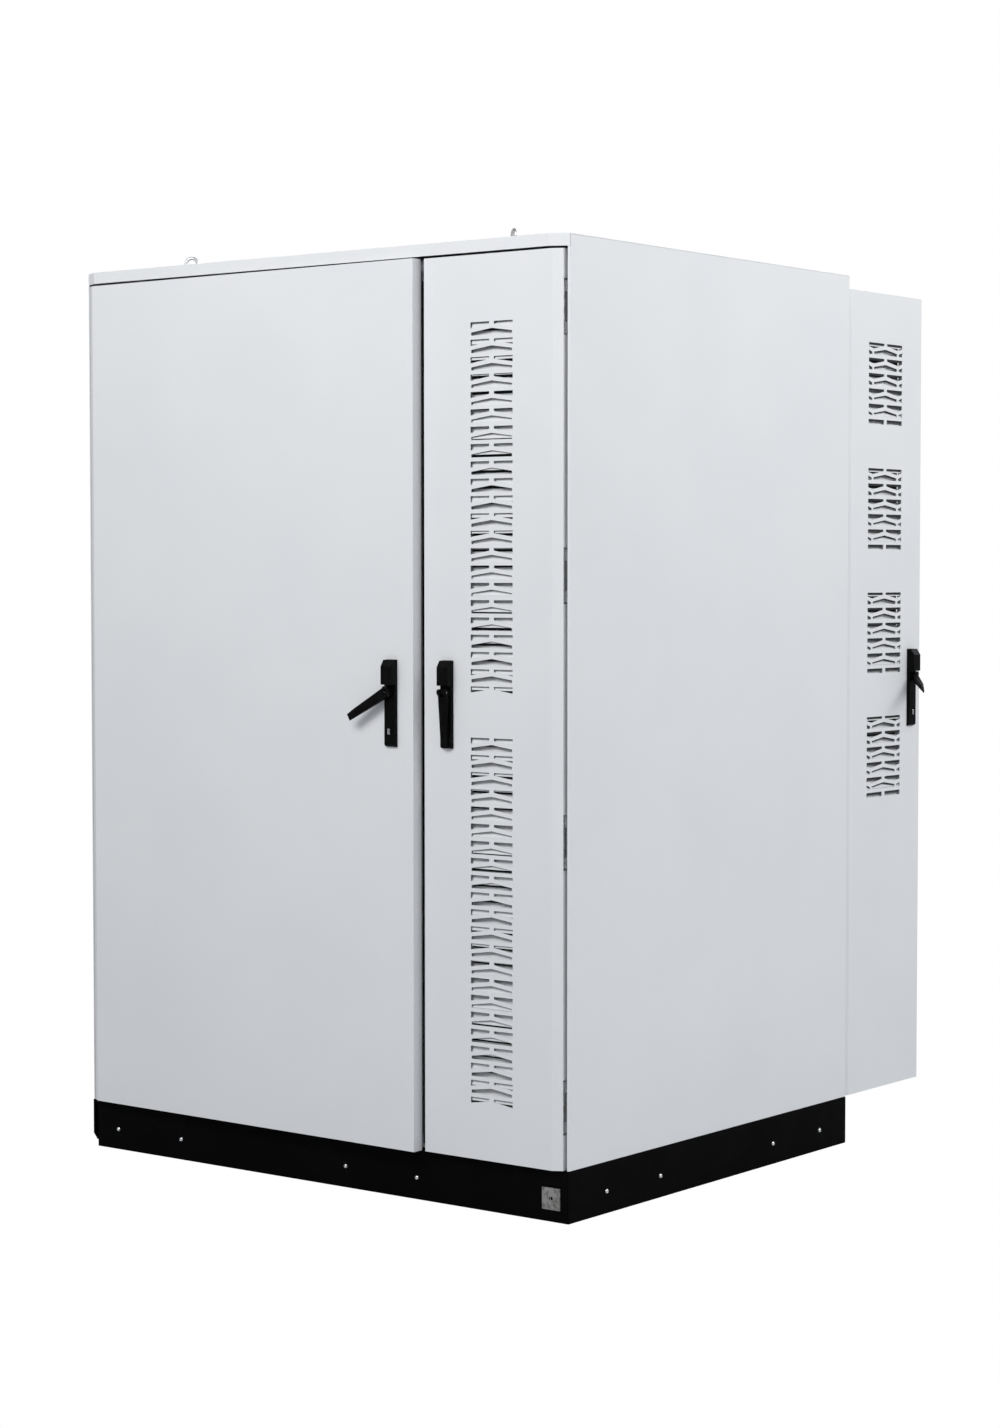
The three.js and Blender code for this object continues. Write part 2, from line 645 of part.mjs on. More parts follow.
function handleAssembly(prefix, side, x, turn, lift) {
  const handle = new THREE.Group();
  handle.position.set(x, -FACE, HANDLE_Z);
  handle.add(piece(`${prefix}_handle_base`, handleBase(), 'plastic'));

  const turning = new THREE.Group();
  turning.rotation.y = side * degrees(turn);
  turning.add(piece(`${prefix}_handle_hub`, handleHub(side), 'plastic'));

  const lever = piece(`${prefix}_handle_lever`, handleLever(), 'plastic');
  lever.position.y = LIFT_PIVOT_N;
  const lifting = new THREE.Group();
  lifting.position.y = -LIFT_PIVOT_N;
  lifting.rotation.x = -degrees(lift);
  lifting.add(lever);
  turning.add(lifting);
  handle.add(turning);

  const travel = (CAM_RADIUS * turn) / 90;
  const upper = piece(`${prefix}_lock_rod_upper`, lockRod(side, 1, UPPER_ROD_N, 930), 'zinc');
  upper.position.z = -travel;
  const lower = piece(`${prefix}_lock_rod_lower`, lockRod(side, -1, LOWER_ROD_N, 1005), 'zinc');
  lower.position.z = travel;
  handle.add(upper, lower);
  return handle;
}

function doorAssembly({ prefix, side, width, handleX, turn, lift, vents, tray }) {
  const door = new THREE.Group();
  let pan = cutHandleHole(doorPan(width, side), side * handleX);
  if (vents) pan = cutVents(pan, vents);
  door.add(piece(`${prefix}_door_panel`, pan, 'paint'));
  door.add(piece(`${prefix}_door_seal`, doorSeal(width, side), 'rubber'));
  door.add(piece(`${prefix}_door_hinge_leaf`, doorHingeLeaf(side), 'zinc'));
  if (tray) door.add(piece(`${prefix}_door_louvre`, tray, 'paint'));
  door.add(handleAssembly(prefix, side, side * handleX, turn, lift));
  return door;
}

function batteryDoor() {
  const door = doorAssembly({
    prefix: 'battery', side: 1, width: BATTERY_DOOR_WIDTH, handleX: 1006, turn: 60, lift: 8,
  });
  door.position.set(-HINGE_X, -HINGE_Y, 0);
  door.rotation.z = -degrees(BATTERY_DOOR_AJAR);
  return door;
}

function powerDoor() {
  const door = doorAssembly({
    prefix: 'power',
    side: -1,
    width: POWER_DOOR_WIDTH,
    handleX: 311,
    turn: 0,
    lift: 0,
    vents: powerVents(POWER_VENTS),
    tray: louvre(POWER_VENTS),
  });
  door.position.set(HINGE_X, -HINGE_Y, 0);
  return door;
}

function rearDoor() {
  const door = doorAssembly({
    prefix: 'rear',
    side: 1,
    width: REAR_DOOR_WIDTH,
    handleX: 315,
    turn: 73,
    lift: 41,
    vents: rearVents(REAR_VENTS),
    tray: louvre(REAR_VENTS),
  });
  door.position.set(HINGE_X, HINGE_Y, 0);
  door.rotation.z = Math.PI - degrees(REAR_DOOR_OPEN);
  return door;
}

// ---------------------------------------------------------------- equipment inside
const RACK_X = [-690, 195];
const RACK_Y = [-520, 500];
const POST = 40;
const PACK_LEVELS = [170, 500, 830, 1160, 1490];
const PACK_HEIGHT = 240;
const SWITCH_BOX_Z = [1830, 2080];
const ISOLATOR = { x: -250, z: 1955 };

function batteryRack() {
  const [x0, x1] = RACK_X;
  const [y0, y1] = RACK_Y;
  const z = [DOOR_BOTTOM + 2, 2120];
  const solids = [];
  for (const x of [x0, x1 - POST]) {
    for (const y of [y0, y1 - POST]) {
      solids.push(box([x, x + POST], [y, y + POST], z));
    }
  }
  const inset = 3; // beams and rails are let into the posts
  for (const level of [z[0] + inset, z[1] - POST]) {
    for (const y of [y0, y1 - POST]) {
      const beamY = [y + inset, y + POST - inset];
      solids.push(box([x0 + inset, x1 - inset], beamY, [level, level + POST - inset]));
    }
  }
  for (const level of [...PACK_LEVELS, SWITCH_BOX_Z[0]]) {
    const railY = [y0 + inset, y1 - inset];
    solids.push(box([x0 + inset, x0 + POST + 25], railY, [level - 20, level - 1]));
    solids.push(box([x1 - POST - 25, x1 - inset], railY, [level - 20, level - 1]));
  }
  return join(solids);
}

// Liquid-cooled pack: housing, ribbed front plate and two lift bars.
function batteryPack(level) {
  const x = [RACK_X[0] + POST + 3, RACK_X[1] - POST - 3];
  const y = [RACK_Y[0] + 8, RACK_Y[1] - 20];
  const solids = [box(x, y, [level, level + PACK_HEIGHT])];
  for (const bar of [x[0] + 90, x[1] - 114]) {
    solids.push(box([bar, bar + 24], [y[0] - 22, y[0] - 14], [level + 60, level + 180]));
    solids.push(box([bar, bar + 24], [y[0] - 22, y[0] + 1], [level + 60, level + 72]));
    solids.push(box([bar, bar + 24], [y[0] - 22, y[0] + 1], [level + 168, level + 180]));
  }
  return join(solids);
}

function switchBox() {
  const x = [RACK_X[0] + POST + 3, RACK_X[1] - POST - 3];
  const body = box(x, [RACK_Y[0] + 8, 200], SWITCH_BOX_Z);
  const boss = cylinderY(26, ISOLATOR.x, ISOLATOR.z, RACK_Y[0] - 4, RACK_Y[0] + 9, 20);
  const shaft = cylinderY(5, ISOLATOR.x, ISOLATOR.z, RACK_Y[0] - 20, RACK_Y[0], 10);
  return join([body, boss, shaft]);
}

function isolatorKnob() {
  const y = [RACK_Y[0] - 34, RACK_Y[0] - 4.5];
  const disc = cylinderY(24, ISOLATOR.x, ISOLATOR.z, y[1] - 10, y[1], 20);
  const grip = box([ISOLATOR.x - 6, ISOLATOR.x + 6], y, [ISOLATOR.z - 23, ISOLATOR.z + 23]);
  return join([disc, grip]).subtract(cylinderY(5.6, ISOLATOR.x, ISOLATOR.z, y[1] - 16.5, y[1] + 1, 10));
}

const POWER_BAY_X = [400, 690];
const FAN_CENTRE_X = 545;
const UNIT_FRONT = -480;
const CONVERTER = { z: [1240, 2060], back: 470, fanZ: 1840, fanRadius: 105 };
const COOLER = { z: [150, 1130], back: 400, fanZ: 820, fanRadius: 120 };

function fanUnit({ z, back, fanZ, fanRadius }) {
  const body = box(POWER_BAY_X, [UNIT_FRONT, back], z);
  const well = cylinderY(fanRadius + 6, FAN_CENTRE_X, fanZ, UNIT_FRONT - 1, UNIT_FRONT + 70, 24);
  const shaft = cylinderY(8, FAN_CENTRE_X, fanZ, UNIT_FRONT + 12, UNIT_FRONT + 71, 10);
  return body.subtract(well).add(shaft);
}

function fanRotor({ fanZ, fanRadius }) {
  const blades = 7;
  const y = [UNIT_FRONT + 18, UNIT_FRONT + 58];
  const solids = [cylinderY(34, FAN_CENTRE_X, fanZ, ...y, 20)];
  for (let i = 0; i < blades; i += 1) {
    const blade = new THREE.BoxGeometry(fanRadius - 32, 3, 46);
    blade.rotateX(degrees(38));
    blade.translate(32 + (fanRadius - 32) / 2 - 1, 0, 0);
    blade.rotateY((2 * Math.PI * i) / blades);
    blade.translate(FAN_CENTRE_X, (y[0] + y[1]) / 2, fanZ);
    solids.push(solid(blade));
  }
  return join(solids).subtract(cylinderY(8.6, FAN_CENTRE_X, fanZ, y[0] - 1, y[1] + 1, 10));
}

// ---------------------------------------------------------------- assembly
function placed(mesh, x, y, z = 0) {
  mesh.position.set(x, y, z);
  return mesh;
}

function plinth() {
  const group = new THREE.Group();
  group.add(piece('base_frame', baseFrame(), 'black'));
  group.add(piece('plinth_cover_front', frontPlinthCover(), 'black'));
  group.add(piece('plinth_cover_rear', rearPlinthCover(), 'black'));
  group.add(piece('plinth_cover_left', leftPlinthCover(), 'black'));
  group.add(piece('plinth_cover_right', rightPlinthCover(), 'black'));
  group.add(piece('earthing_plate', earthingPlate(), 'zinc'));
  return group;
}

function shell() {
  const group = new THREE.Group();
  group.add(piece('floor_panel', floorPanel(), 'zinc'));
  group.add(piece('side_panel_left', sidePanel(-1), 'paint'));
  group.add(piece('side_panel_right', sidePanel(1), 'paint'));
  group.add(piece('rear_panel', rearPanel(), 'paint'));
  group.add(piece('roof_cover', roofCover(), 'paint'));
  group.add(piece('front_frame', frontFrame(), 'paint'));
  group.add(piece('rear_frame', rearFrame(), 'paint'));
  group.add(piece('bay_partition', bayPartition(), 'zinc'));
  group.add(placed(piece('battery_hinge_rod', hingeRod(), 'zinc'), -HINGE_X, -HINGE_Y));
  group.add(placed(piece('power_hinge_rod', hingeRod(), 'zinc'), HINGE_X, -HINGE_Y));
  group.add(placed(piece('rear_hinge_rod', hingeRod(), 'zinc'), HINGE_X, HINGE_Y));
  for (const [corner, x, y, turn] of LIFTING_EYES) {
    const eye = piece(`lifting_eye_${corner}`, liftingEye(), 'zinc');
    eye.rotation.z = degrees(turn);
    group.add(placed(eye, x, y, HEIGHT));
  }
  return group;
}

function equipment() {
  const group = new THREE.Group();
  group.add(piece('battery_rack', batteryRack(), 'zinc'));
  PACK_LEVELS.forEach((level, i) => {
    group.add(piece(`battery_pack_${i + 1}`, batteryPack(level), 'pack'));
  });
  group.add(piece('switch_box', switchBox(), 'unit'));
  group.add(piece('isolator_knob', isolatorKnob(), 'red'));
  group.add(piece('power_converter', fanUnit(CONVERTER), 'unit'));
  group.add(piece('converter_fan', fanRotor(CONVERTER), 'plastic'));
  group.add(piece('cooling_unit', fanUnit(COOLER), 'unit'));
  group.add(piece('cooling_fan', fanRotor(COOLER), 'plastic'));
  return group;
}

const cabinet = new THREE.Group();
cabinet.add(plinth(), shell(), batteryDoor(), powerDoor(), rearDoor(), equipment());

export default cabinet;
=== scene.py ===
"""Looks of the outdoor battery cabinet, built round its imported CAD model.

Shapes are drawn in millimetres, in the cabinet's frame or in a door's own frame (closed door, hinge axis at
the origin, outer face towards -Y), and become metres when a piece is made.
"""
import json
import math

import bmesh
import bpy
from mathutils import Matrix, Vector


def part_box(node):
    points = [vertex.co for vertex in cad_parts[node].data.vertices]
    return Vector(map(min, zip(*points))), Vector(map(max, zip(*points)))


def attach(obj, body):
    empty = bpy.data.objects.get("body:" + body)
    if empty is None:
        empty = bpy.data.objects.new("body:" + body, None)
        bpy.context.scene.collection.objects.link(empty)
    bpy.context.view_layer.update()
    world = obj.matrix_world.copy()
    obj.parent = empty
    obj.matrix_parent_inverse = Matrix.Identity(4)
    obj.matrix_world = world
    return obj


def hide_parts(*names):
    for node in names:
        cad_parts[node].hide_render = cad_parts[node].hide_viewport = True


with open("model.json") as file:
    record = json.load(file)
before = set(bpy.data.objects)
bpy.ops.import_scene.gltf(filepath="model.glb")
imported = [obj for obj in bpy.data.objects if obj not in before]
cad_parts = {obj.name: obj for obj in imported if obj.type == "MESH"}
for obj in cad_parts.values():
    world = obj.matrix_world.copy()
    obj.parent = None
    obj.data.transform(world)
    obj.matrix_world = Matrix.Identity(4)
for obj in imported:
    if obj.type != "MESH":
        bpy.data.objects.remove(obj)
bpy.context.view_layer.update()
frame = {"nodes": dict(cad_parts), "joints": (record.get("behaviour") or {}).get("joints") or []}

MM = 0.001
FACE = 18.0  # a door's outer face in front of its hinge axis
SKIN = FACE - 2.0  # inner side of the door sheet
HANDLE_Z = 1182.0
LIFT_PIVOT = 20.0  # lever pivot in front of the door face
HINGE_LEVELS = (261.0, 854.0, 1447.0, 2040.0)
HINGE_HEIGHT = 118.0
OUTER_KNUCKLE = 26.0
DOORS_MEET = 345.0  # x of the gap between the two front doors
ROD_ASIDE = 15.5  # lock rod beside the handle's spindle
PACK_INSET = 22.0  # pack's front face behind its lowest y

DOORS = {
    "battery": {"side": 1, "width": 1070.0, "handle": 1006.0, "angle": -1.34, "turn": 60.0, "lift": 8.0},
    "power": {"side": -1, "width": 379.5, "handle": 311.0, "angle": 0.0, "turn": 0.0, "lift": 0.0},
    "rear": {"side": 1, "width": 363.6, "handle": 315.0, "angle": 90.0, "turn": 73.0, "lift": 41.0},
}


def show(thing):
    bpy.context.scene.collection.objects.link(thing)


# -------- places
def joint_place(name):
    """Point on a joint's axis, in millimetres."""
    joint = next(j for j in frame["joints"] if j["name"] == name)
    return Vector(joint["pos_m"]) / MM


def box_mm(node):
    low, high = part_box(node)
    return low / MM, high / MM


def door_space(key):
    hinge = joint_place(f"{key}_door_swing")
    turn = Matrix.Rotation(math.radians(DOORS[key]["angle"]), 4, "Z")
    return Matrix.Translation((hinge.x, hinge.y, 0)) @ turn


def handle_space(key):
    """Origin on the door face at the spindle: X sideways, Z up, -Y out of the door."""
    door = DOORS[key]
    return door_space(key) @ Matrix.Translation((door["side"] * door["handle"], -FACE, HANDLE_Z))


def lever_space(key):
    """Handle space turned and lifted with the lever at rest."""
    door = DOORS[key]
    turn = Matrix.Rotation(math.radians(door["side"] * door["turn"]), 4, "Y")
    lift = Matrix.Rotation(-math.radians(door["lift"]), 4, "X")
    pivot = Matrix.Translation((0, -LIFT_PIVOT, 0))
    return handle_space(key) @ turn @ pivot @ lift @ pivot.inverted()


def box_in_space(node, space):
    """Lowest and highest corner of a CAD node, measured in a door's own frame."""
    inverse = space.inverted()
    points = [inverse @ (v.co / MM) for v in frame["nodes"][node].data.vertices]
    low = Vector([min(p[k] for p in points) for k in range(3)])
    high = Vector([max(p[k] for p in points) for k in range(3)])
    return low, high


# -------- materials
class Finish:
    """A Principled material with helpers for procedural detail."""

    def __init__(self, name, colour, roughness, metallic=0.0):
        self.material = bpy.data.materials.new(name)
        self.material.use_nodes = True
        self.nodes = self.material.node_tree.nodes
        self.links = self.material.node_tree.links
        self.shader = self.nodes["Principled BSDF"]
        self.shader.inputs["Metallic"].default_value = metallic
        self.colour = self.rgb(colour)
        self.shader.inputs["Base Color"].default_value = self.colour
        self.shader.inputs["Roughness"].default_value = roughness
        self.place = self.nodes.new("ShaderNodeTexCoord").outputs["Object"]

    @staticmethod
    def rgb(colour):
        return (*colour, 1.0)

    def set(self, **values):
        for name, value in values.items():
            self.shader.inputs[name.replace("_", " ")].default_value = value
        return self

    def stretched(self, scale):
        mapping = self.nodes.new("ShaderNodeMapping")
        mapping.inputs["Scale"].default_value = scale
        self.links.new(self.place, mapping.inputs["Vector"])
        return mapping.outputs["Vector"]

    def noise(self, scale, detail=2.0, place=None):
        node = self.nodes.new("ShaderNodeTexNoise")
        node.inputs["Scale"].default_value = scale
        node.inputs["Detail"].default_value = detail
        self.links.new(place or self.place, node.inputs["Vector"])
        return node.outputs["Fac"]

    def cells(self, scale, output="Distance"):
        node = self.nodes.new("ShaderNodeTexVoronoi")
        node.inputs["Scale"].default_value = scale
        self.links.new(self.place, node.inputs["Vector"])
        return node.outputs[output]

    def spread(self, source, low, high, into=(0.0, 1.0)):
        node = self.nodes.new("ShaderNodeMapRange")
        node.inputs["From Min"].default_value = low
        node.inputs["From Max"].default_value = high
        node.inputs["To Min"].default_value = into[0]
        node.inputs["To Max"].default_value = into[1]
        self.links.new(source, node.inputs["Value"])
        return node.outputs["Result"]

    def tint(self, amount, other):
        """Mixes another colour over the present one where amount is high."""
        mix = self.nodes.new("ShaderNodeMix")
        mix.data_type = "RGBA"
        self.links.new(amount, mix.inputs["Factor"])
        present = self.shader.inputs["Base Color"]
        if present.is_linked:
            self.links.new(present.links[0].from_socket, mix.inputs["A"])
        else:
            mix.inputs["A"].default_value = self.colour
        mix.inputs["B"].default_value = self.rgb(other)
        self.links.new(mix.outputs["Result"], present)
        return self

    def rough(self, source, low, high):
        self.links.new(self.spread(source, 0.3, 0.7, (low, high)), self.shader.inputs["Roughness"])
        return self

    def bump(self, source, depth, strength=1.0):
        node = self.nodes.new("ShaderNodeBump")
        node.inputs["Strength"].default_value = strength
        node.inputs["Distance"].default_value = depth * MM
        self.links.new(source, node.inputs["Height"])
        normal = self.shader.inputs["Normal"]
        if normal.is_linked:
            self.links.new(normal.links[0].from_socket, node.inputs["Normal"])
        self.links.new(node.outputs["Normal"], normal)
        return self


def powder_coat(name, colour, shade, roughness, peel, gloss=0.5):
    """Textured powder coat: fine orange peel, faint shade changes and a little dust."""
    finish = Finish(name, colour, roughness)
    finish.set(Specular_IOR_Level=gloss)
    finish.tint(finish.spread(finish.noise(3.1, 3.0), 0.35, 0.7), shade)
    finish.rough(finish.noise(14.0, 4.0), roughness - 0.05, roughness + 0.07)
    finish.bump(finish.noise(420.0, 3.0), peel, 0.55)
    return finish.material


def zinc_plate(name, colour, warm, roughness):
    """Zinc-plated steel with faint passivation clouds and fine drawing lines."""
    finish = Finish(name, colour, roughness, 1.0)
    finish.tint(finish.spread(finish.noise(26.0, 3.0), 0.38, 0.68), warm)
    finish.rough(finish.noise(60.0, 4.0), roughness - 0.08, roughness + 0.12)
    lines = finish.noise(180.0, 2.0, finish.stretched((1.0, 1.0, 0.06)))
    return finish.bump(lines, 0.03, 0.4).material


def galvanised_sheet():
    """Hot-dip zinc with its crystal spangle."""
    finish = Finish("galvanised_sheet", (0.52, 0.54, 0.56), 0.42, 0.85)
    spangle = finish.cells(85.0, "Color")
    finish.tint(finish.spread(spangle, 0.2, 0.9, (0.0, 0.6)), (0.38, 0.40, 0.43))
    finish.rough(spangle, 0.34, 0.55)
    return finish.bump(finish.noise(30.0, 4.0), 0.05, 0.4).material


def bare_steel():
    """Bare ground steel of the earthing plate, stained in patches."""
    finish = Finish("bare_steel", (0.37, 0.36, 0.345), 0.42, 0.75)
    finish.tint(finish.spread(finish.noise(95.0, 5.0), 0.42, 0.66), (0.17, 0.16, 0.15))
    finish.tint(finish.spread(finish.noise(240.0, 4.0), 0.55, 0.72), (0.42, 0.40, 0.37))
    finish.rough(finish.noise(150.0, 4.0), 0.3, 0.6)
    return finish.bump(finish.noise(300.0, 4.0), 0.08, 0.6).material


def moulded_plastic(name, colour, roughness, grain=0.03, gloss=0.5):
    """Injection-moulded plastic with an eroded grain and faint handling marks."""
    finish = Finish(name, colour, roughness)
    finish.set(Specular_IOR_Level=gloss)
    lighter = tuple(min(1.0, c * 1.35 + 0.004) for c in colour)
    finish.tint(finish.spread(finish.noise(38.0, 4.0), 0.45, 0.75, (0.0, 0.8)), lighter)
    finish.rough(finish.noise(75.0, 3.0), roughness - 0.07, roughness + 0.1)
    return finish.bump(finish.cells(1400.0), grain, 0.5).material


def rubber(name, colour):
    """Matt rubber with dusty patches."""
    finish = Finish(name, colour, 0.72)
    dusty = tuple(c * 2.2 for c in colour)
    finish.tint(finish.spread(finish.noise(20.0, 4.0), 0.45, 0.75, (0.0, 0.5)), dusty)
    finish.rough(finish.noise(90.0, 3.0), 0.62, 0.85)
    return finish.bump(finish.noise(900.0, 2.0), 0.05, 0.5).material


def foam():
    """Closed-cell insulation foam."""
    finish = Finish("insulation_foam", (0.055, 0.057, 0.06), 0.9)
    finish.tint(finish.spread(finish.cells(260.0), 0.2, 0.7, (0.0, 0.7)), (0.03, 0.03, 0.032))
    return finish.bump(finish.cells(420.0), 0.5, 0.8).material


def filter_mat():
    """Black non-woven filter fibres."""
    finish = Finish("filter_fibre", (0.022, 0.023, 0.025), 0.95)
    fibres = finish.noise(300.0, 6.0, finish.stretched((0.35, 1.0, 1.6)))
    finish.tint(finish.spread(fibres, 0.4, 0.62), (0.008, 0.008, 0.009))
    return finish.bump(fibres, 1.2, 0.9).material


def cable_sheath(name, colour):
    """Silicone cable sheath with a soft sheen and dusty patches."""
    finish = Finish(name, colour, 0.46)
    darker = tuple(c * 0.7 for c in colour)
    finish.tint(finish.spread(finish.noise(45.0, 4.0), 0.5, 0.8, (0.0, 0.5)), darker)
    finish.rough(finish.noise(120.0, 3.0), 0.38, 0.6)
    finish.set(Sheen_Weight=0.15)
    return finish.bump(finish.noise(700.0, 2.0), 0.04, 0.4).material


def lamp_lens(name, colour):
    """Coloured lens with moulded rings that show in its bump."""
    finish = Finish(name, colour, 0.18)
    darker = tuple(c * 0.6 for c in colour)
    finish.tint(finish.spread(finish.noise(160.0, 2.0), 0.4, 0.7, (0.0, 0.4)), darker)
    finish.set(Coat_Weight=0.6)
    return finish.bump(finish.cells(650.0), 0.15, 0.4).material


def fins_metal():
    """Aluminium fins, slightly dull."""
    finish = Finish("fin_aluminium", (0.62, 0.63, 0.64), 0.38, 0.95)
    finish.tint(finish.spread(finish.noise(12.0, 3.0), 0.4, 0.7, (0.0, 0.6)), (0.48, 0.49, 0.5))
    finish.rough(finish.noise(90.0, 3.0), 0.3, 0.5)
    return finish.bump(finish.noise(500.0, 2.0), 0.04, 0.4).material


PLINTH_BLACK = (0.0012, 0.0012, 0.0013)
PLINTH_WORN = (0.0018, 0.0018, 0.002)
MATERIALS = {
    "body_paint": powder_coat("body_paint_coat", (0.745, 0.752, 0.763), (0.722, 0.731, 0.744), 0.44, 0.05),
    "plinth_paint": powder_coat("plinth_coat", PLINTH_BLACK, PLINTH_WORN, 0.7, 0.05, 0.04),
    "zinc_steel": zinc_plate("zinc_plate", (0.60, 0.61, 0.63), (0.52, 0.51, 0.48), 0.34),
    "bare_steel": bare_steel(),
    "seal_rubber": rubber("seal_rubber_skin", (0.012, 0.012, 0.013)),
    # near-black rubber of the strip behind the front doors' gap: its colour paints the deep shade in that
    # gap
    "gap_shade_rubber": rubber("gap_shade_rubber_skin", (0.002, 0.002, 0.0022)),
    "handle_plastic": moulded_plastic("handle_moulding", (0.0012, 0.0012, 0.0014), 0.45, gloss=0.07),
    "fan_plastic": moulded_plastic("fan_moulding", (0.016, 0.016, 0.018), 0.5),
    "pack_case": powder_coat("pack_coat", (0.085, 0.09, 0.097), (0.07, 0.075, 0.082), 0.5, 0.06),
    "unit_case": powder_coat("unit_coat", (0.40, 0.41, 0.425), (0.37, 0.38, 0.395), 0.46, 0.05),
    "knob_plastic": moulded_plastic("knob_moulding", (0.50, 0.02, 0.015), 0.32, 0.01),
    "galvanised": galvanised_sheet(),
    "bright_zinc": zinc_plate("bright_zinc", (0.78, 0.78, 0.78), (0.70, 0.69, 0.66), 0.24),
    "foam": foam(),
    "filter": filter_mat(),
    "orange_cable": cable_sheath("orange_sheath", (0.80, 0.21, 0.02)),
    "black_cable": cable_sheath("black_sheath", (0.014, 0.014, 0.015)),
    "orange_plastic": moulded_plastic("orange_moulding", (0.78, 0.19, 0.02), 0.4),
    "black_plastic": moulded_plastic("black_moulding", (0.013, 0.013, 0.014), 0.46),
    "grey_plastic": moulded_plastic("grey_moulding", (0.36, 0.37, 0.38), 0.5),
    "white_nylon": moulded_plastic("white_nylon", (0.72, 0.71, 0.67), 0.42),
    "yellow_plastic": moulded_plastic("yellow_moulding", (0.78, 0.55, 0.03), 0.4),
    "green_lens": lamp_lens("green_lens", (0.03, 0.42, 0.07)),
    "red_lens": lamp_lens("red_lens", (0.55, 0.02, 0.015)),
    "amber_lens": lamp_lens("amber_lens", (0.75, 0.33, 0.02)),
    "fins": fins_metal(),
}

GALVANISED_NODES = ("floor_panel", "bay_partition", "battery_rack")
BEVELS = {  # edge rounding of the CAD nodes, by their material slot, in millimetres
    "body_paint": 0.7,
    "plinth_paint": 0.8,
    "zinc_steel": 0.4,
    "bare_steel": 0.6,
    "seal_rubber": 3.0,
    "handle_plastic": 1.3,
    "fan_plastic": 0.8,
    "pack_case": 2.5,
    "unit_case": 2.0,
    "knob_plastic": 1.5,
}
NODE_BEVELS = {"switch_box": 0.4}  # small, as the knob turns close to its boss
ZINC = ("bright_zinc", "zinc_steel")  # material and slot of screws, clips and wires


def add_bevel(piece, width, segments=2, angle=32.0):
    bevel = piece.modifiers.new("edges", "BEVEL")
    bevel.width = width * MM
    bevel.segments = segments
    bevel.limit_method = "ANGLE"
    bevel.angle_limit = math.radians(angle)
    bevel.harden_normals = True


def finish_cad_nodes():
    """Gives every CAD node its procedural finish and softly rounded edges."""
    for name, node in frame["nodes"].items():
        slot = node.material_slots[0].material.name
        finish = "galvanised" if name in GALVANISED_NODES else slot
        node.material_slots[0].material = MATERIALS[finish]
        weld = node.modifiers.new("weld", "WELD")
        weld.merge_threshold = 0.01 * MM
        flats = node.modifiers.new("flats", "DECIMATE")
        flats.decimate_type = "DISSOLVE"
        flats.angle_limit = math.radians(0.6)
        add_bevel(node, NODE_BEVELS.get(name, BEVELS[slot]))


# -------- shapes
AXIS_TURNS = {
    "X": Matrix.Rotation(math.pi / 2, 4, "Y"),
    "Y": Matrix.Rotation(-math.pi / 2, 4, "X"),
    "Z": Matrix.Identity(4),
}


def round_section(radius, count=16):
    angles = [2 * math.pi * i / count for i in range(count)]
    return [(radius * math.cos(a), radius * math.sin(a)) for a in angles]


def smooth_path(points, steps=8):
    """Catmull-Rom curve through the points."""
    points = [Vector(p) for p in points]
    padded = [2 * points[0] - points[1], *points, 2 * points[-1] - points[-2]]
    path = []
    for p0, p1, p2, p3 in zip(padded, padded[1:], padded[2:], padded[3:]):
        for i in range(steps):
            t = i / steps
            ahead = (2 * p0 - 5 * p1 + 4 * p2 - p3) * t * t
            curl = (3 * p1 - p0 - 3 * p2 + p3) * t * t * t
            path.append((2 * p1 + (p2 - p0) * t + ahead + curl) / 2)
    return [*path, points[-1]]


def ring_path(centre, radius, axis="Y", count=48):
    turn = AXIS_TURNS[axis]
    angles = [2 * math.pi * i / count for i in range(count)]
    return [Vector(centre) + turn @ Vector((radius * math.cos(a), radius * math.sin(a), 0)) for a in angles]


def polygon_share(angle, sides):
    """Radius of a regular polygon at an angle, with its corners at 1."""
    step = 2 * math.pi / sides
    return math.cos(step / 2) / math.cos((angle % step) - step / 2)


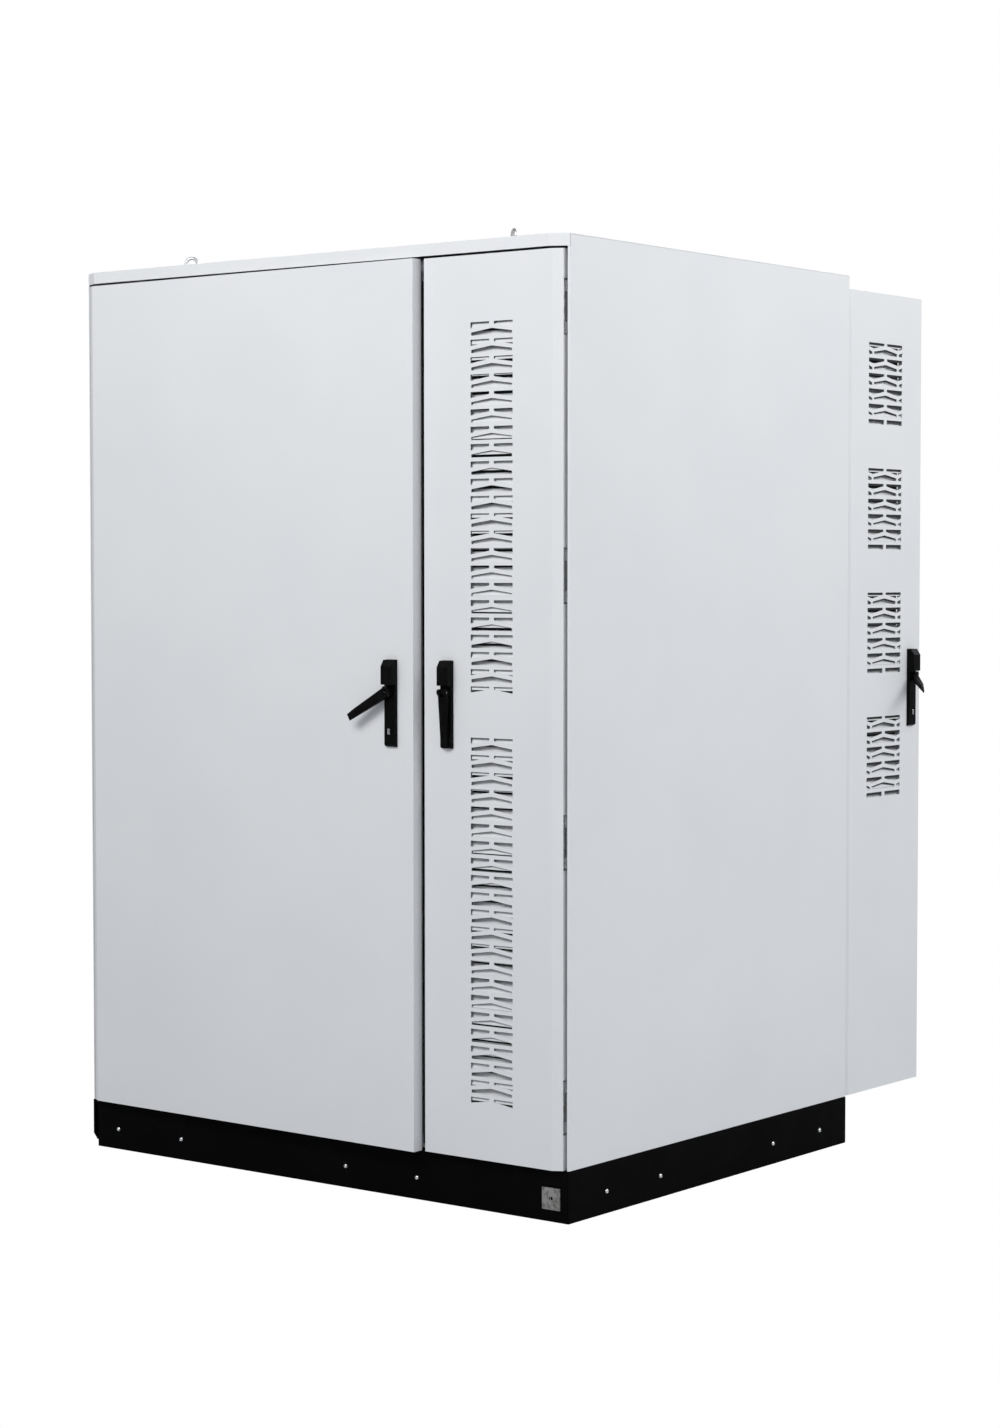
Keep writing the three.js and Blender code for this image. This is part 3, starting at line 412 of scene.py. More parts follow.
class Shape:
    """Collects closed solids in millimetres and turns them into one piece."""

    def __init__(self):
        self.mesh = bmesh.new()

    def box(self, x, y, z):
        size = Matrix.Diagonal((x[1] - x[0], y[1] - y[0], z[1] - z[0], 1))
        centre = Matrix.Translation((sum(x) / 2, sum(y) / 2, sum(z) / 2))
        bmesh.ops.create_cube(self.mesh, size=1.0, matrix=centre @ size)
        return self

    def lathe(self, profile, centre=(0, 0, 0), axis="Z", segments=32, out=1):
        """Turns (radius, height) points round an axis; a third value gives a ring that many flats.

        out is 1 for heights along the axis and -1 for heights against it.
        """
        place = Matrix.Translation(centre) @ AXIS_TURNS[axis]
        rings = []
        for radius, height, *flats in profile:
            height *= out
            if radius == 0:
                rings.append([self.mesh.verts.new(place @ Vector((0, 0, height)))])
                continue
            ring = []
            for i in range(segments):
                angle = 2 * math.pi * i / segments
                reach = radius * (polygon_share(angle, flats[0]) if flats else 1.0)
                point = Vector((reach * math.cos(angle), reach * math.sin(angle), height))
                ring.append(self.mesh.verts.new(place @ point))
            rings.append(ring)
        for lower, upper in zip(rings, rings[1:]):
            self.join_rings(lower, upper, segments)
        return self

    def join_rings(self, lower, upper, count):
        for i in range(count):
            j = (i + 1) % count
            corners = [lower[i % len(lower)], lower[j % len(lower)]]
            corners += [upper[j % len(upper)], upper[i % len(upper)]]
            self.mesh.faces.new(list(dict.fromkeys(corners)))

    def cylinder(self, radius, start, end, axis="Z", segments=32):
        """start is the middle of one end, end is the coordinate of the other end along the axis."""
        length = end - start["XYZ".index(axis)]
        return self.lathe([(0, 0), (radius, 0), (radius, length), (0, length)], start, axis, segments)

    def sweep(self, path, section, closed=False):
        """Moves a flat section along a path without twisting it."""
        path = [Vector(p) for p in path]
        count = len(path)
        side = None
        rings = []
        for i, point in enumerate(path):
            before = path[i - 1] if closed or i > 0 else point
            after = path[(i + 1) % count] if closed or i < count - 1 else point
            along = (after - before).normalized()
            if side is None:
                reference = Vector((0, 0, 1)) if abs(along.z) < 0.9 else Vector((0, 1, 0))
                side = along.cross(reference)
            side = (side - along * side.dot(along)).normalized()
            up = side.cross(along)
            rings.append([self.mesh.verts.new(point + side * a + up * b) for a, b in section])
        for lower, upper in zip(rings, rings[1:]):
            self.join_rings(lower, upper, len(section))
        if closed:
            self.join_rings(rings[-1], rings[0], len(section))
        else:
            self.mesh.faces.new(rings[0])
            self.mesh.faces.new(rings[-1])
        return self

    def prism(self, outline, x=None, y=None, z=None):
        """Raises a closed outline, in the other two axes, along the axis whose range is given."""
        if x:
            corner, span = (lambda a, b, c: (c, a, b)), x
        elif y:
            corner, span = (lambda a, b, c: (a, c, b)), y
        else:
            corner, span = (lambda a, b, c: (a, b, c)), z
        ends = [[self.mesh.verts.new(corner(a, b, c)) for a, b in outline] for c in span]
        self.join_rings(ends[0], ends[1], len(outline))
        for end in ends:
            self.mesh.faces.new(end)
        return self

    def piece(self, name, body, material, slot, space=None, bevel=0.0, segments=2):
        """Makes the piece, in metres, on a CAD body."""
        self.mesh.transform(Matrix.Scale(MM, 4) @ (space or Matrix.Identity(4)))
        bmesh.ops.recalc_face_normals(self.mesh, faces=self.mesh.faces)
        mesh = bpy.data.meshes.new(name)
        self.mesh.to_mesh(mesh)
        self.mesh.free()
        mesh.shade_smooth()
        mesh.set_sharp_from_angle(angle=math.radians(34))
        mesh.materials.append(MATERIALS[material])
        piece = bpy.data.objects.new(name, mesh)
        show(piece)
        if bevel:
            add_bevel(piece, bevel, segments)
        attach(piece, body)
        return piece


def socket_screw(shape, centre, axis, out, radius=5.5, height=3.2):
    """Button-head screw with a hexagonal socket; out is the side its head faces along the axis."""
    profile = [
        (0, 0.45 * height),
        (0.42 * radius, 0.45 * height, 6),
        (0.42 * radius, 0.96 * height, 6),
        (0.62 * radius, height),
        (0.86 * radius, 0.72 * height),
        (radius, 0.25 * height),
        (radius, 0),
        (0, 0),
    ]
    shape.lathe(profile, centre, axis, 24, out)


def hex_bolt(shape, centre, axis, out, radius=6.0, height=4.5):
    """Hexagon head on a washer."""
    profile = [
        (0, height),
        (0.82 * radius, height),
        (radius, 0.86 * height, 6),
        (radius, 0.28 * height, 6),
        (1.35 * radius, 0.26 * height),
        (1.35 * radius, 0),
        (0, 0),
    ]
    shape.lathe(profile, centre, axis, 24, out)


# -------- plinth
SCREW_Z = 51.0
FRONT_SCREWS_X = (-660.0, -442.0, 95.0, 313.0)
SIDE_SCREWS_Y = (-449.0, -235.0, 251.0, 468.0)


def plinth_screws():
    covers = {"front": ("Y", -1, 0), "rear": ("Y", 1, 0), "left": ("X", -1, 1), "right": ("X", 1, 1)}
    for cover, (axis, out, across) in covers.items():
        low, high = box_mm(f"plinth_cover_{cover}")
        face = (high if out > 0 else low)[1 - across]
        shape = Shape()
        for place in (SIDE_SCREWS_Y if across else FRONT_SCREWS_X):
            centre = (face, place, SCREW_Z) if across else (place, face, SCREW_Z)
            socket_screw(shape, centre, axis, out)
        shape.piece(f"plinth_screws_{cover}", "cabinet", *ZINC)


def earthing_detail():
    """Weld nut behind the earthing hole, seen through the plate."""
    low, high = box_mm("earthing_plate")
    centre = ((low.x + high.x) / 2, low.y + 2.0, (low.z + high.z) / 2)
    shape = Shape()
    shape.lathe([(0, 3.4), (3.4, 3.2), (3.6, 1.0), (4.7, 0.4), (4.7, 4.4), (0, 4.4)], centre, "Y", 28)
    shape.piece("earthing_weld_nut", "cabinet", "bare_steel", "bare_steel")


# -------- lifting eyes
EYE_RING = 14.5
EYE_BAR = 4.0
EYE_CENTRE = 19.2
EYE_TURNS = {"front_left": 38, "front_right": -36, "rear_left": 12, "rear_right": 80}


def lifting_eyes():
    """Forged ring bolts with a flared collar and a fillet under the ring."""
    collar = [(0, 0), (10.4, 0), (11, 0.6), (11, 3.2), (10, 4.4)]
    collar += [(7.4, 5.2), (5.4, 6.4), (4.4, 8.2), (0, 9)]
    for corner, turn in EYE_TURNS.items():
        low, high = box_mm(f"lifting_eye_{corner}")
        place = Matrix.Translation(((low.x + high.x) / 2, (low.y + high.y) / 2, low.z))
        shape = Shape()
        shape.lathe(collar, segments=40)
        shape.sweep(ring_path((0, 0, EYE_CENTRE), EYE_RING), round_section(EYE_BAR), closed=True)
        space = place @ Matrix.Rotation(math.radians(turn), 4, "Z")
        piece = shape.piece(f"ring_bolt_{corner}", "cabinet", "zinc_steel", "zinc_steel", space)
        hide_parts(f"lifting_eye_{corner}")


# -------- black strip between the front doors, painting the shade in their gap
def centre_gap_shade_strip():
    """Flat near-black rubber on the post behind the gap between the two front doors, painting the deep
    shade in that gap.
    """
    post_front = -577.0
    x = (DOORS_MEET - 25.0, DOORS_MEET + 25.0)
    shape = Shape()
    shape.box(x, (post_front - 3.0, post_front - 0.3), (130.0, 2120.0))
    for edge in (x[0] + 6, x[1] - 6):
        shape.cylinder(2.2, (edge, post_front - 3.4, 132.0), 2118.0, "Z", 12)
    shape.piece("centre_gap_shade_strip", "cabinet", "gap_shade_rubber", "seal_rubber")


# -------- handles
CATCH_V = -93.0
GASKET_HALF_WIDTH, GASKET_TOP, GASKET_BOTTOM = 16.6, 72.6, -128.6
SPINDLE_OPENING = 5.6  # the two halves of the gasket meet round it


def handle_details(key):
    """Gasket under the handle, catch that holds the lever down, and caps on the lever's pivot."""
    space = handle_space(key)
    shape = Shape()
    edge, opening, split = GASKET_HALF_WIDTH, SPINDLE_OPENING, 0.1
    outline = [(split, GASKET_BOTTOM), (edge, GASKET_BOTTOM), (edge, GASKET_TOP), (split, GASKET_TOP)]
    outline += [(split, opening), (opening, opening), (opening, -opening), (split, -opening)]
    for half in (-1, 1):
        shape.prism([(half * x, z) for x, z in outline], y=(-1.2, 0))
    shape.piece(f"{key}_handle_gasket", f"{key}_door", "seal_rubber", "seal_rubber", space, 0.5)

    shape = Shape()
    shape.box((-4.5, 2.5), (-12.0, -8.8), (CATCH_V - 6.5, CATCH_V + 6.5))
    shape.piece(f"{key}_handle_catch", f"{key}_door", *ZINC, space, 0.7)

    shape = Shape()
    for side in (-1, 1):
        cap = [(0, 11.9), (1.7, 11.9), (1.7, 12.3), (1.3, 12.6), (0, 12.7)]
        shape.lathe(cap, (0, -LIFT_PIVOT, 0), "X", 24, side)
    space = lever_space(key)
    shape.piece(f"{key}_handle_pivot_caps", f"{key}_handle_lever", "bare_steel", "zinc_steel", space)


def rod_guides(key):
    """Nylon guides that carry the two flat lock rods on the inside of a door."""
    door = DOORS[key]
    side = door["side"]
    shape = Shape()
    for up, low_y, places in ((1, 13.0, (300.0, 780.0)), (-1, 16.0, (330.0, 850.0))):
        for place in places:
            z = (HANDLE_Z + up * place - 9, HANDLE_Z + up * place + 9)
            centre = side * door["handle"] + side * up * ROD_ASIDE
            outer, leg = 8.6, side * up
            inside = sorted((centre - leg * 6.6, centre - leg * (outer + 2.4)))
            beyond = sorted((centre + leg * 6.6, centre + leg * outer))
            across = sorted((centre - leg * (outer + 2.4), centre + leg * outer))
            shape.box(inside, (-SKIN + 0.2, low_y + 5.6), z)
            shape.box(beyond, (low_y - 0.6, low_y + 3.1), z)
            shape.box(across, (low_y - 3.6, low_y - 0.5), z)
            shape.box(across, (low_y + 3.0, low_y + 5.8), z)
    shape.piece(f"{key}_rod_guides", f"{key}_door", "white_nylon", "handle_plastic", door_space(key), 0.5)


def rod_rollers(key):
    """Small rollers at the ends of the lock rods."""
    side, handle = DOORS[key]["side"], DOORS[key]["handle"]
    for end, up in (("upper", 1), ("lower", -1)):
        node = f"{key}_lock_rod_{end}"
        low, high = box_in_space(node, door_space(key))
        x = side * handle + side * up * ROD_ASIDE
        z = high.z - 9 if up > 0 else low.z + 9
        shape = Shape()
        wheel = [(0, 0.2), (3.6, 0.2), (3.6, 1.4), (6.2, 1.6), (6.2, 7.4)]
        pin_head = [(3.4, 7.6), (3.4, 8.8), (2.6, 9.4), (0, 9.4)]
        shape.lathe(wheel + pin_head, (x, high.y, z), "Y", 28)
        shape.piece(f"{key}_rod_roller_{end}", node, "white_nylon", "handle_plastic", door_space(key))


# -------- hinges
def sleeve(near, far):
    """Lathe profile of a knuckle's smooth outer face, with small chamfers at both ends."""
    outer, bore = 5.75, 3.05
    chamfer = math.copysign(0.5, far - near)
    near_end = [(bore, near), (outer - 0.5, near), (outer, near + chamfer)]
    far_end = [(outer, far - chamfer), (outer - 0.5, far), (bore, far)]
    return [*near_end, *far_end, (bore, near)]


def hinge_sleeves(key):
    """Smooth outer faces of the hinge knuckles, with a cap on each end of the pin."""
    low, high = box_mm(f"{key}_hinge_rod")
    x, y = (low.x + high.x) / 2, (low.y + high.y) / 2
    half = HINGE_HEIGHT / 2
    fixed, moving, caps = Shape(), Shape(), Shape()
    for level in HINGE_LEVELS:
        for end in (-1, 1):
            near, far = end * (half - OUTER_KNUCKLE), end * half
            fixed.lathe(sleeve(near, far), (x, y, level), "Z", 32)
            cap = [(0, 0.1), (4.6, 0.1), (4.6, 1.8), (3.2, 3.0), (0, 3.2)]
            caps.lathe([(r, far + end * h) for r, h in cap], (x, y, level), "Z", 28)
        moving.lathe(sleeve(1 + OUTER_KNUCKLE - half, half - OUTER_KNUCKLE - 1), (x, y, level), "Z", 32)
    fixed.piece(f"{key}_hinge_barrels_fixed", "cabinet", *ZINC)
    moving.piece(f"{key}_hinge_barrels_door", f"{key}_door", *ZINC)
    caps.piece(f"{key}_hinge_pin_caps", "cabinet", *ZINC)


# -------- inside of the doors
def hat_channel(shape, x, z, depth):
    """Hat-section stiffener welded to the inside of a door sheet."""
    half, flange = 22.0, 14.0
    top = -SKIN + depth
    base = -SKIN + 0.2
    wall = 1.5
    near_side = [(-half, base), (-half, top), (half, top), (half, base), (half + flange, base)]
    far_side = [(half + flange, base + wall), (half + wall, base + wall), (half + wall, top + wall)]
    section = [(-half - flange, base), *near_side, *far_side]
    section += [(-half - wall, top + wall), (-half - wall, base + wall), (-half - flange, base + wall)]
    shape.prism([(x + a, b) for a, b in section], z=z)


def battery_door_inside():
    """Stiffeners with insulation mats between them, and a document pocket."""
    space = door_space("battery")
    shape = Shape()
    for x in (190.0, 537.0, 884.0):
        hat_channel(shape, x, (190.0, 2100.0), 15.0)
    shape.piece("battery_door_stiffeners", "battery_door", "body_paint", "body_paint", space, 0.8)

    shape = Shape()
    for left, right in ((60.0, 150.0), (230.0, 497.0), (577.0, 844.0), (924.0, 972.0)):
        for bottom, top in ((200.0, 1140.0), (1146.0, 2090.0)):
            shape.box((left, right), (-SKIN + 0.2, -SKIN + 10.0), (bottom, top))
    shape.piece("battery_door_insulation", "battery_door", "foam", "seal_rubber", space, 2.0, 3)

    shape = Shape()
    x, z, wall = (412.0, 662.0), (860.0, 1120.0), 2.5
    back, front = 1.0, 25.0
    between = (back + wall - 0.4, front - wall + 0.4)
    shape.box(x, (back, back + wall), z)
    shape.box(x, (front - wall, front), (z[0], z[1] - 60))
    for edge in (x[0], x[1] - wall):
        shape.box((edge, edge + wall), between, (z[0], z[1] - 40))
    shape.box((x[0] + wall - 0.4, x[1] - wall + 0.4), between, (z[0], z[0] + wall))
    shape.piece("document_pocket", "battery_door", "grey_plastic", "unit_case", space, 0.7)


def filter_frame(key):
    """Filter mat behind a louvre, held by a wire frame and turn clips."""
    space = door_space(key)
    low, high = box_in_space(f"{key}_door_louvre", space)
    x, z = (low.x + 5, high.x - 5), (low.z + 5, high.z - 5)
    back = high.y
    shape = Shape()
    bands = 9
    step = (z[1] - z[0]) / bands
    for i in range(bands):
        shape.box(x, (back + 0.2, back + 9.0), (z[0] + i * step + 0.3, z[0] + (i + 1) * step - 0.3))
    shape.piece(f"{key}_filter_mat", f"{key}_door", "filter", "seal_rubber", space, 3.0, 3)

    shape = Shape()
    wire = round_section(1.6, 10)
    y = back + 11.0
    shape.sweep([(x[0], y, z[0]), (x[1], y, z[0]), (x[1], y, z[1]), (x[0], y, z[1])], wire, closed=True)
    rungs = 12
    for i in range(1, rungs):
        height = z[0] + (z[1] - z[0]) * i / rungs
        shape.sweep([(x[0], y, height), (x[1], y, height)], wire)
    for height in (z[0] + 60, (z[0] + z[1]) / 2 + 30, z[1] - 60):
        for edge, out in ((x[0], -1), (x[1], 1)):
            span = sorted((edge - out * 9, edge + out * 13))
            shape.box(span, (y + 1.7, y + 3.6), (height - 7, height + 7))
            shape.cylinder(3.4, (edge + out * 9, back - 14, height), y + 5.4, "Y", 20)
    shape.piece(f"{key}_filter_frame", f"{key}_door", *ZINC, space, 0.3)


# -------- vents
VENT_PITCH = 39.0
VENT_GAP = 6.5
CHEVRON_HALF = 58
CHEVRON_EDGE = [(-CHEVRON_HALF, -23), (0, -15), (CHEVRON_HALF, -23)]
SIDE_SLOT = 66  # where the side slots of a wide vent begin
VENTS = {  # the wide vents have side slots, and a last row without chevrons
    "power": {"centre": -185.0, "tops": (2016, 1081), "rows": 22, "half": 60, "wide": False},
    "rear": {"centre": 181.4, "tops": (2040, 1720, 1402, 1083), "rows": 5, "half": 84, "wide": True},
}
SHADOW_STRIP_WIDTH = 1.1  # part of the black strip that shows beside an opening's edge, painting the shadow there
# deeper black strips on the wide vents paint the darker shade in their slots and chevrons
WIDE_SLOT_SHADOW = 5.6
WIDE_CHEVRON_SHADOW = 3.6


def paint_vent_shadows(key):
    """Black strips behind the upper and the left edges of the vent openings, painting the shadow that falls
    behind those edges.
    """
    vents = VENTS[key]
    half, wide = vents["half"], vents["wide"]
    slot_shadow = WIDE_SLOT_SHADOW if wide else SHADOW_STRIP_WIDTH
    chevron_shadow = WIDE_CHEVRON_SHADOW if wide else SHADOW_STRIP_WIDTH
    y = (-SKIN + 0.05, -SKIN + 0.9)
    shape = Shape()

    def upper(z, points, shadow_reach):
        above = [(vents["centre"] + x, z + h + 1.0) for x, h in points]
        below = [(vents["centre"] + x, z + h - shadow_reach) for x, h in reversed(points)]
        shape.prism(above + below, y=y)

    def left(z, x, top, bottom):
        x += vents["centre"]
        shape.box((x - 1.0, x + SHADOW_STRIP_WIDTH), y, (z + bottom, z + top))

    def slot_pair(z, outer_bottom, inner_bottom):
        upper(z, [(-half, 0), (-VENT_GAP, 0)], slot_shadow)
        upper(z, [(VENT_GAP, 0), (half, 0)], slot_shadow)
        left(z, -half, -1.2, outer_bottom)
        left(z, VENT_GAP, -1.2, inner_bottom)

    for top in vents["tops"]:
        for row in range(vents["rows"]):
            z = top - row * VENT_PITCH
            slot_pair(z, -9 if wide else -12, -5)
            if wide or row < vents["rows"] - 1:
                upper(z, CHEVRON_EDGE, chevron_shadow)
                left(z, -CHEVRON_HALF, -24.2, -29)
            if wide:
                upper(z, [(-half, -19), (-SIDE_SLOT, -24)], chevron_shadow)
                upper(z, [(SIDE_SLOT, -24), (half, -19)], chevron_shadow)
                left(z, -half, -20.4, -29)
                left(z, SIDE_SLOT, -25.2, -29)
        if wide:
            slot_pair(top - vents["rows"] * VENT_PITCH, -11, -11)
    shape.piece(f"{key}_vent_shadow_strips", f"{key}_door", "seal_rubber", "seal_rubber", door_space(key))


# -------- battery bay
PACKS = 5
PLUS_X, MINUS_X = -430.0, -70.0
PLUG_RISE = 118.0


def pack_fronts():
    """Bolted front plates with plugs, coolant ports, a vent valve and a signal socket."""
    for number in range(1, PACKS + 1):
        low, high = box_mm(f"battery_pack_{number}")
        front = low.y + PACK_INSET
        x = (low.x + 8, high.x - 8)
        z = (low.z + 7, high.z - 7)
        shape = Shape()
        shape.box(x, (front - 4.0, front - 0.2), z)
        for rib in range(9):
            height = z[0] + 150 + rib * 8.0
            shape.box((x[0] + 250, x[1] - 250), (front - 6.5, front - 3.8), (height, height + 3.2))
        shape.piece(f"pack_front_plate_{number}", "cabinet", "pack_case", "pack_case", bevel=0.8)

        shape = Shape()
        for i in range(9):
            across = x[0] + 12 + (x[1] - x[0] - 24) * i / 8
            for height in (z[0] + 9, z[1] - 9):
                hex_bolt(shape, (across, front - 4.0, height), "Y", -1, 4.6, 3.6)
        for height in (z[0] + 75, z[0] + 150):
            for across in (x[0] + 12, x[1] - 12):
                hex_bolt(shape, (across, front - 4.0, height), "Y", -1, 4.6, 3.6)
        shape.piece(f"pack_bolts_{number}", "cabinet", *ZINC)

        shape = Shape()
        for across in (PLUS_X, MINUS_X):
            height = low.z + PLUG_RISE
            shape.box((across - 26, across + 26), (front - 12, front - 3.8), (height - 22, height + 22))
            shape.box((across - 20, across + 20), (front - 34, front - 11.8), (height - 16, height + 16))
            shape.box((across - 8, across + 8), (front - 30, front - 16), (height + 15.8, height + 20))
        name = f"pack_plugs_{number}"
        shape.piece(name, "cabinet", "orange_plastic", "knob_plastic", bevel=1.6, segments=3)

        shape = Shape()
        middle = (x[0] + x[1]) / 2
        shape.box((middle - 20, middle + 20), (front - 13, front - 3.8), (low.z + 36, low.z + 58))
        valve = [(0, 0), (21, 0), (21, 3.0), (18.5, 4.6), (17.0, 4.6)]
        valve += [(16.2, 3.4), (5, 3.4), (4, 5.2), (0, 5.2)]
        shape.lathe(valve, (middle, front - 3.8, low.z + 100), "Y", 40, -1)
        shape.piece(f"pack_valve_{number}", "cabinet", "black_plastic", "fan_plastic", bevel=0.6)


def power_cables():
    """Orange cables that join the packs in series and lead both ends to the switch box."""
    shape = Shape()
    sheath = round_section(6.5, 16)
    plug_y = box_mm("battery_pack_1")[0].y + PACK_INSET - 32.0
    reach = plug_y - 14.0

    def plug_height(number):
        return box_mm(f"battery_pack_{number}")[0].z + PLUG_RISE

    for number in range(1, PACKS):
        start, end = plug_height(number), plug_height(number + 1)
        shape.sweep(smooth_path([
            (MINUS_X - 16, plug_y + 8, start),
            (MINUS_X - 42, plug_y - 2, start + 8),
            (MINUS_X - 62, reach + 2, start + 60),
            ((PLUS_X + MINUS_X) / 2, reach, (start + end) / 2),
            (PLUS_X + 62, reach + 2, end - 60),
            (PLUS_X + 42, plug_y - 2, end - 8),
            (PLUS_X + 16, plug_y + 8, end),
        ]), sheath)
    low_plug, top_plug = plug_height(1), plug_height(PACKS)
    box_low = box_mm("switch_box")[0]
    shape.sweep(smooth_path([
        (PLUS_X - 16, plug_y + 8, low_plug),
        (PLUS_X - 60, plug_y - 6, low_plug - 4),
        (-578.0, reach, low_plug + 60),
        (-592.0, reach, 700.0),
        (-592.0, reach, 1250.0),
        (-588.0, reach, 1700.0),
        (-560.0, plug_y - 4, box_low.z + 40),
        (-540.0, plug_y + 26, box_low.z + 62),
    ]), sheath)
    shape.sweep(smooth_path([
        (MINUS_X + 16, plug_y + 8, top_plug),
        (MINUS_X + 44, plug_y - 4, top_plug + 6),
        (MINUS_X + 66, reach + 4, top_plug + 90),
        (MINUS_X + 60, reach + 6, top_plug + 190),
        (MINUS_X + 20, plug_y - 2, box_low.z + 40),
        (MINUS_X, plug_y + 26, box_low.z + 60),
    ]), sheath)
    shape.piece("power_cables", "cabinet", "orange_cable", "knob_plastic")


def coolant_pipes():
    """Two manifolds in front of the rack posts, with a hose to each pack."""
    shape, hoses, clips = Shape(), Shape(), Shape()
    hose_clip = [(8.7, -3.5), (9.8, -3.5), (9.8, 3.5), (8.7, 3.5), (8.7, -3.5)]
    pipe_clip = [(13.2, -8), (15.4, -8), (15.4, 8), (13.2, 8), (13.2, -8)]
    rack_low, rack_high = box_mm("battery_rack")
    y = rack_low.y - 20.0
    top = box_mm(f"battery_pack_{PACKS}")[0].z + 120
    for x, end in ((rack_low.x + 18, 1), (rack_high.x - 18, -1)):
        shape.sweep([(x, y, 150), (x, y, top)], round_section(13, 28))
        shape.lathe([(0, 0), (15.5, 0), (15.5, 12), (9, 15), (0, 15)], (x, y, top - 1), "Z", 32)
        shape.lathe([(0, 0), (17, 0), (17, 9), (0, 9)], (x, y, 142), "Z", 6)
        for number in range(1, PACKS + 1):
            low, high = box_mm(f"battery_pack_{number}")
            port = (low.x + 40 if end > 0 else high.x - 40)
            height = low.z + 34
            front = low.y + PACK_INSET
            stub = [(x + end * 8, y, height + 44), (x + end * 26, y, height + 44)]
            shape.sweep(stub, round_section(6, 16))
            shape.cylinder(7, (port, front - 22, height), front - 3.8, "Y", 20)
            hoses.sweep(smooth_path([
                (x + end * 16, y, height + 44),
                (x + end * 34, y - 2, height + 42),
                (port, front - 34, height + 22),
                (port, front - 33, height + 4),
                (port, front - 14, height),
            ]), round_section(8.5, 18))
            clips.lathe(hose_clip, (x + end * 21, y, height + 44), "X", 28)
            clips.lathe(hose_clip, (port, front - 18, height), "Y", 28)
        for height in (320.0, 980.0, 1640.0):
            clips.lathe(pipe_clip, (x, y, height), "Z", 32)
            clips.box((x - 5, x + 5), (y + 13, rack_low.y - 0.2), (height - 8, height + 8))
    shape.piece("coolant_manifolds", "cabinet", "fins", "zinc_steel")
    hoses.piece("coolant_hoses", "cabinet", "black_cable", "seal_rubber")
    clips.piece("coolant_clips", "cabinet", *ZINC)


def switch_box_front():
    """Front plates, breakers, lamps and the ring round the isolator knob."""
    low, high = box_mm("switch_box")
    front = box_mm("battery_rack")[0].y + 8.0
    shape = Shape()
    thick = (front - 3.0, front - 0.2)
    shape.box((low.x + 8, high.x - 8), thick, (low.z + 8, low.z + 66))
    shape.box((low.x + 8, -310.0), thick, (low.z + 70, high.z - 8))
    shape.box((-190.0, high.x - 8), thick, (low.z + 70, high.z - 8))
    shape.piece("switch_box_front_plates", "cabinet", "unit_case", "unit_case", bevel=0.7)

    shape = Shape()
    for x in (low.x + 18, -322.0, -178.0, high.x - 18):
        for z in (low.z + 82, high.z - 20):
            socket_screw(shape, (x, front - 3.0, z), "Y", -1, 3.6, 2.2)
    shape.piece("switch_box_screws", "cabinet", *ZINC)

    breakers, toggles = Shape(), Shape()
    count, width = 7, 18.0
    for i in range(count):
        x = -110.0 + i * (width + 0.6)
        z = low.z + 130
        breakers.box((x, x + width), (front - 16, front - 2.8), (z - 42, z + 42))
        breakers.box((x, x + width), (front - 25, front - 15.8), (z - 22, z + 22))
        toggles.prism([(front - 24, z - 6), (front - 38, z - 2), (front - 38, z + 6), (front - 24, z + 9)],
                      x=(x + 4, x + width - 4))
    breakers.piece("breakers", "cabinet", "grey_plastic", "unit_case", bevel=0.9)
    toggles.piece("breaker_toggles", "cabinet", "black_plastic", "fan_plastic", bevel=0.8)

    bezels = Shape()
    dome = [(0, 12.5), (5, 11.6), (8.6, 8.6), (9.6, 4.4), (9.6, 0.2), (0, 0.2)]
    ring = [(9.8, 0.1), (13.4, 0.1), (13.4, 3.0), (12.2, 4.4), (9.8, 4.4), (9.8, 0.1)]
    lamp_pitch = 46
    for i, lens in enumerate(("green_lens", "amber_lens", "red_lens")):
        centre = (low.x + 70 + i * lamp_pitch, front - 3.0, high.z - 66)
        lamp = Shape().lathe(dome, centre, "Y", 32, -1)
        lamp.piece(f"{lens}_lamp", "cabinet", lens, "knob_plastic")
        bezels.lathe(ring, centre, "Y", 32, -1)
    bezels.piece("lamp_bezels", "cabinet", *ZINC)

    shape = Shape()
    plate = [(26.5, 0), (44, 0), (44, 3.4), (42.5, 4.4), (26.5, 4.4), (26.5, 0)]
    knob = box_mm("isolator_knob")
    centre = ((knob[0].x + knob[1].x) / 2, front - 0.2, (knob[0].z + knob[1].z) / 2)
    shape.lathe(plate, centre, "Y", 48, -1)
    shape.piece("isolator_ring", "cabinet", "yellow_plastic", "knob_plastic")


def cable_duct():
    """Slotted cable trunking beside the rack."""
    rack_high = box_mm("battery_rack")[1]
    x = (rack_high.x + 26, rack_high.x + 86)
    y = (-505.0, -440.0)
    z = (165.0, 2085.0)
    shape = Shape()
    shape.box(x, (y[1] - 2, y[1]), z)
    shape.box((x[0] - 1.5, x[1] + 1.5), (y[0] - 3.6, y[0]), z)
    pitch, finger = 16.0, 9.0
    for i in range(int((z[1] - z[0]) / pitch)):
        bottom = z[0] + i * pitch + 3
        for side in (x[0], x[1] - 2):
            shape.box((side, side + 2), (y[0] - 0.4, y[1] - 1.6), (bottom, bottom + finger))
    shape.piece("cable_duct", "cabinet", "grey_plastic", "unit_case")


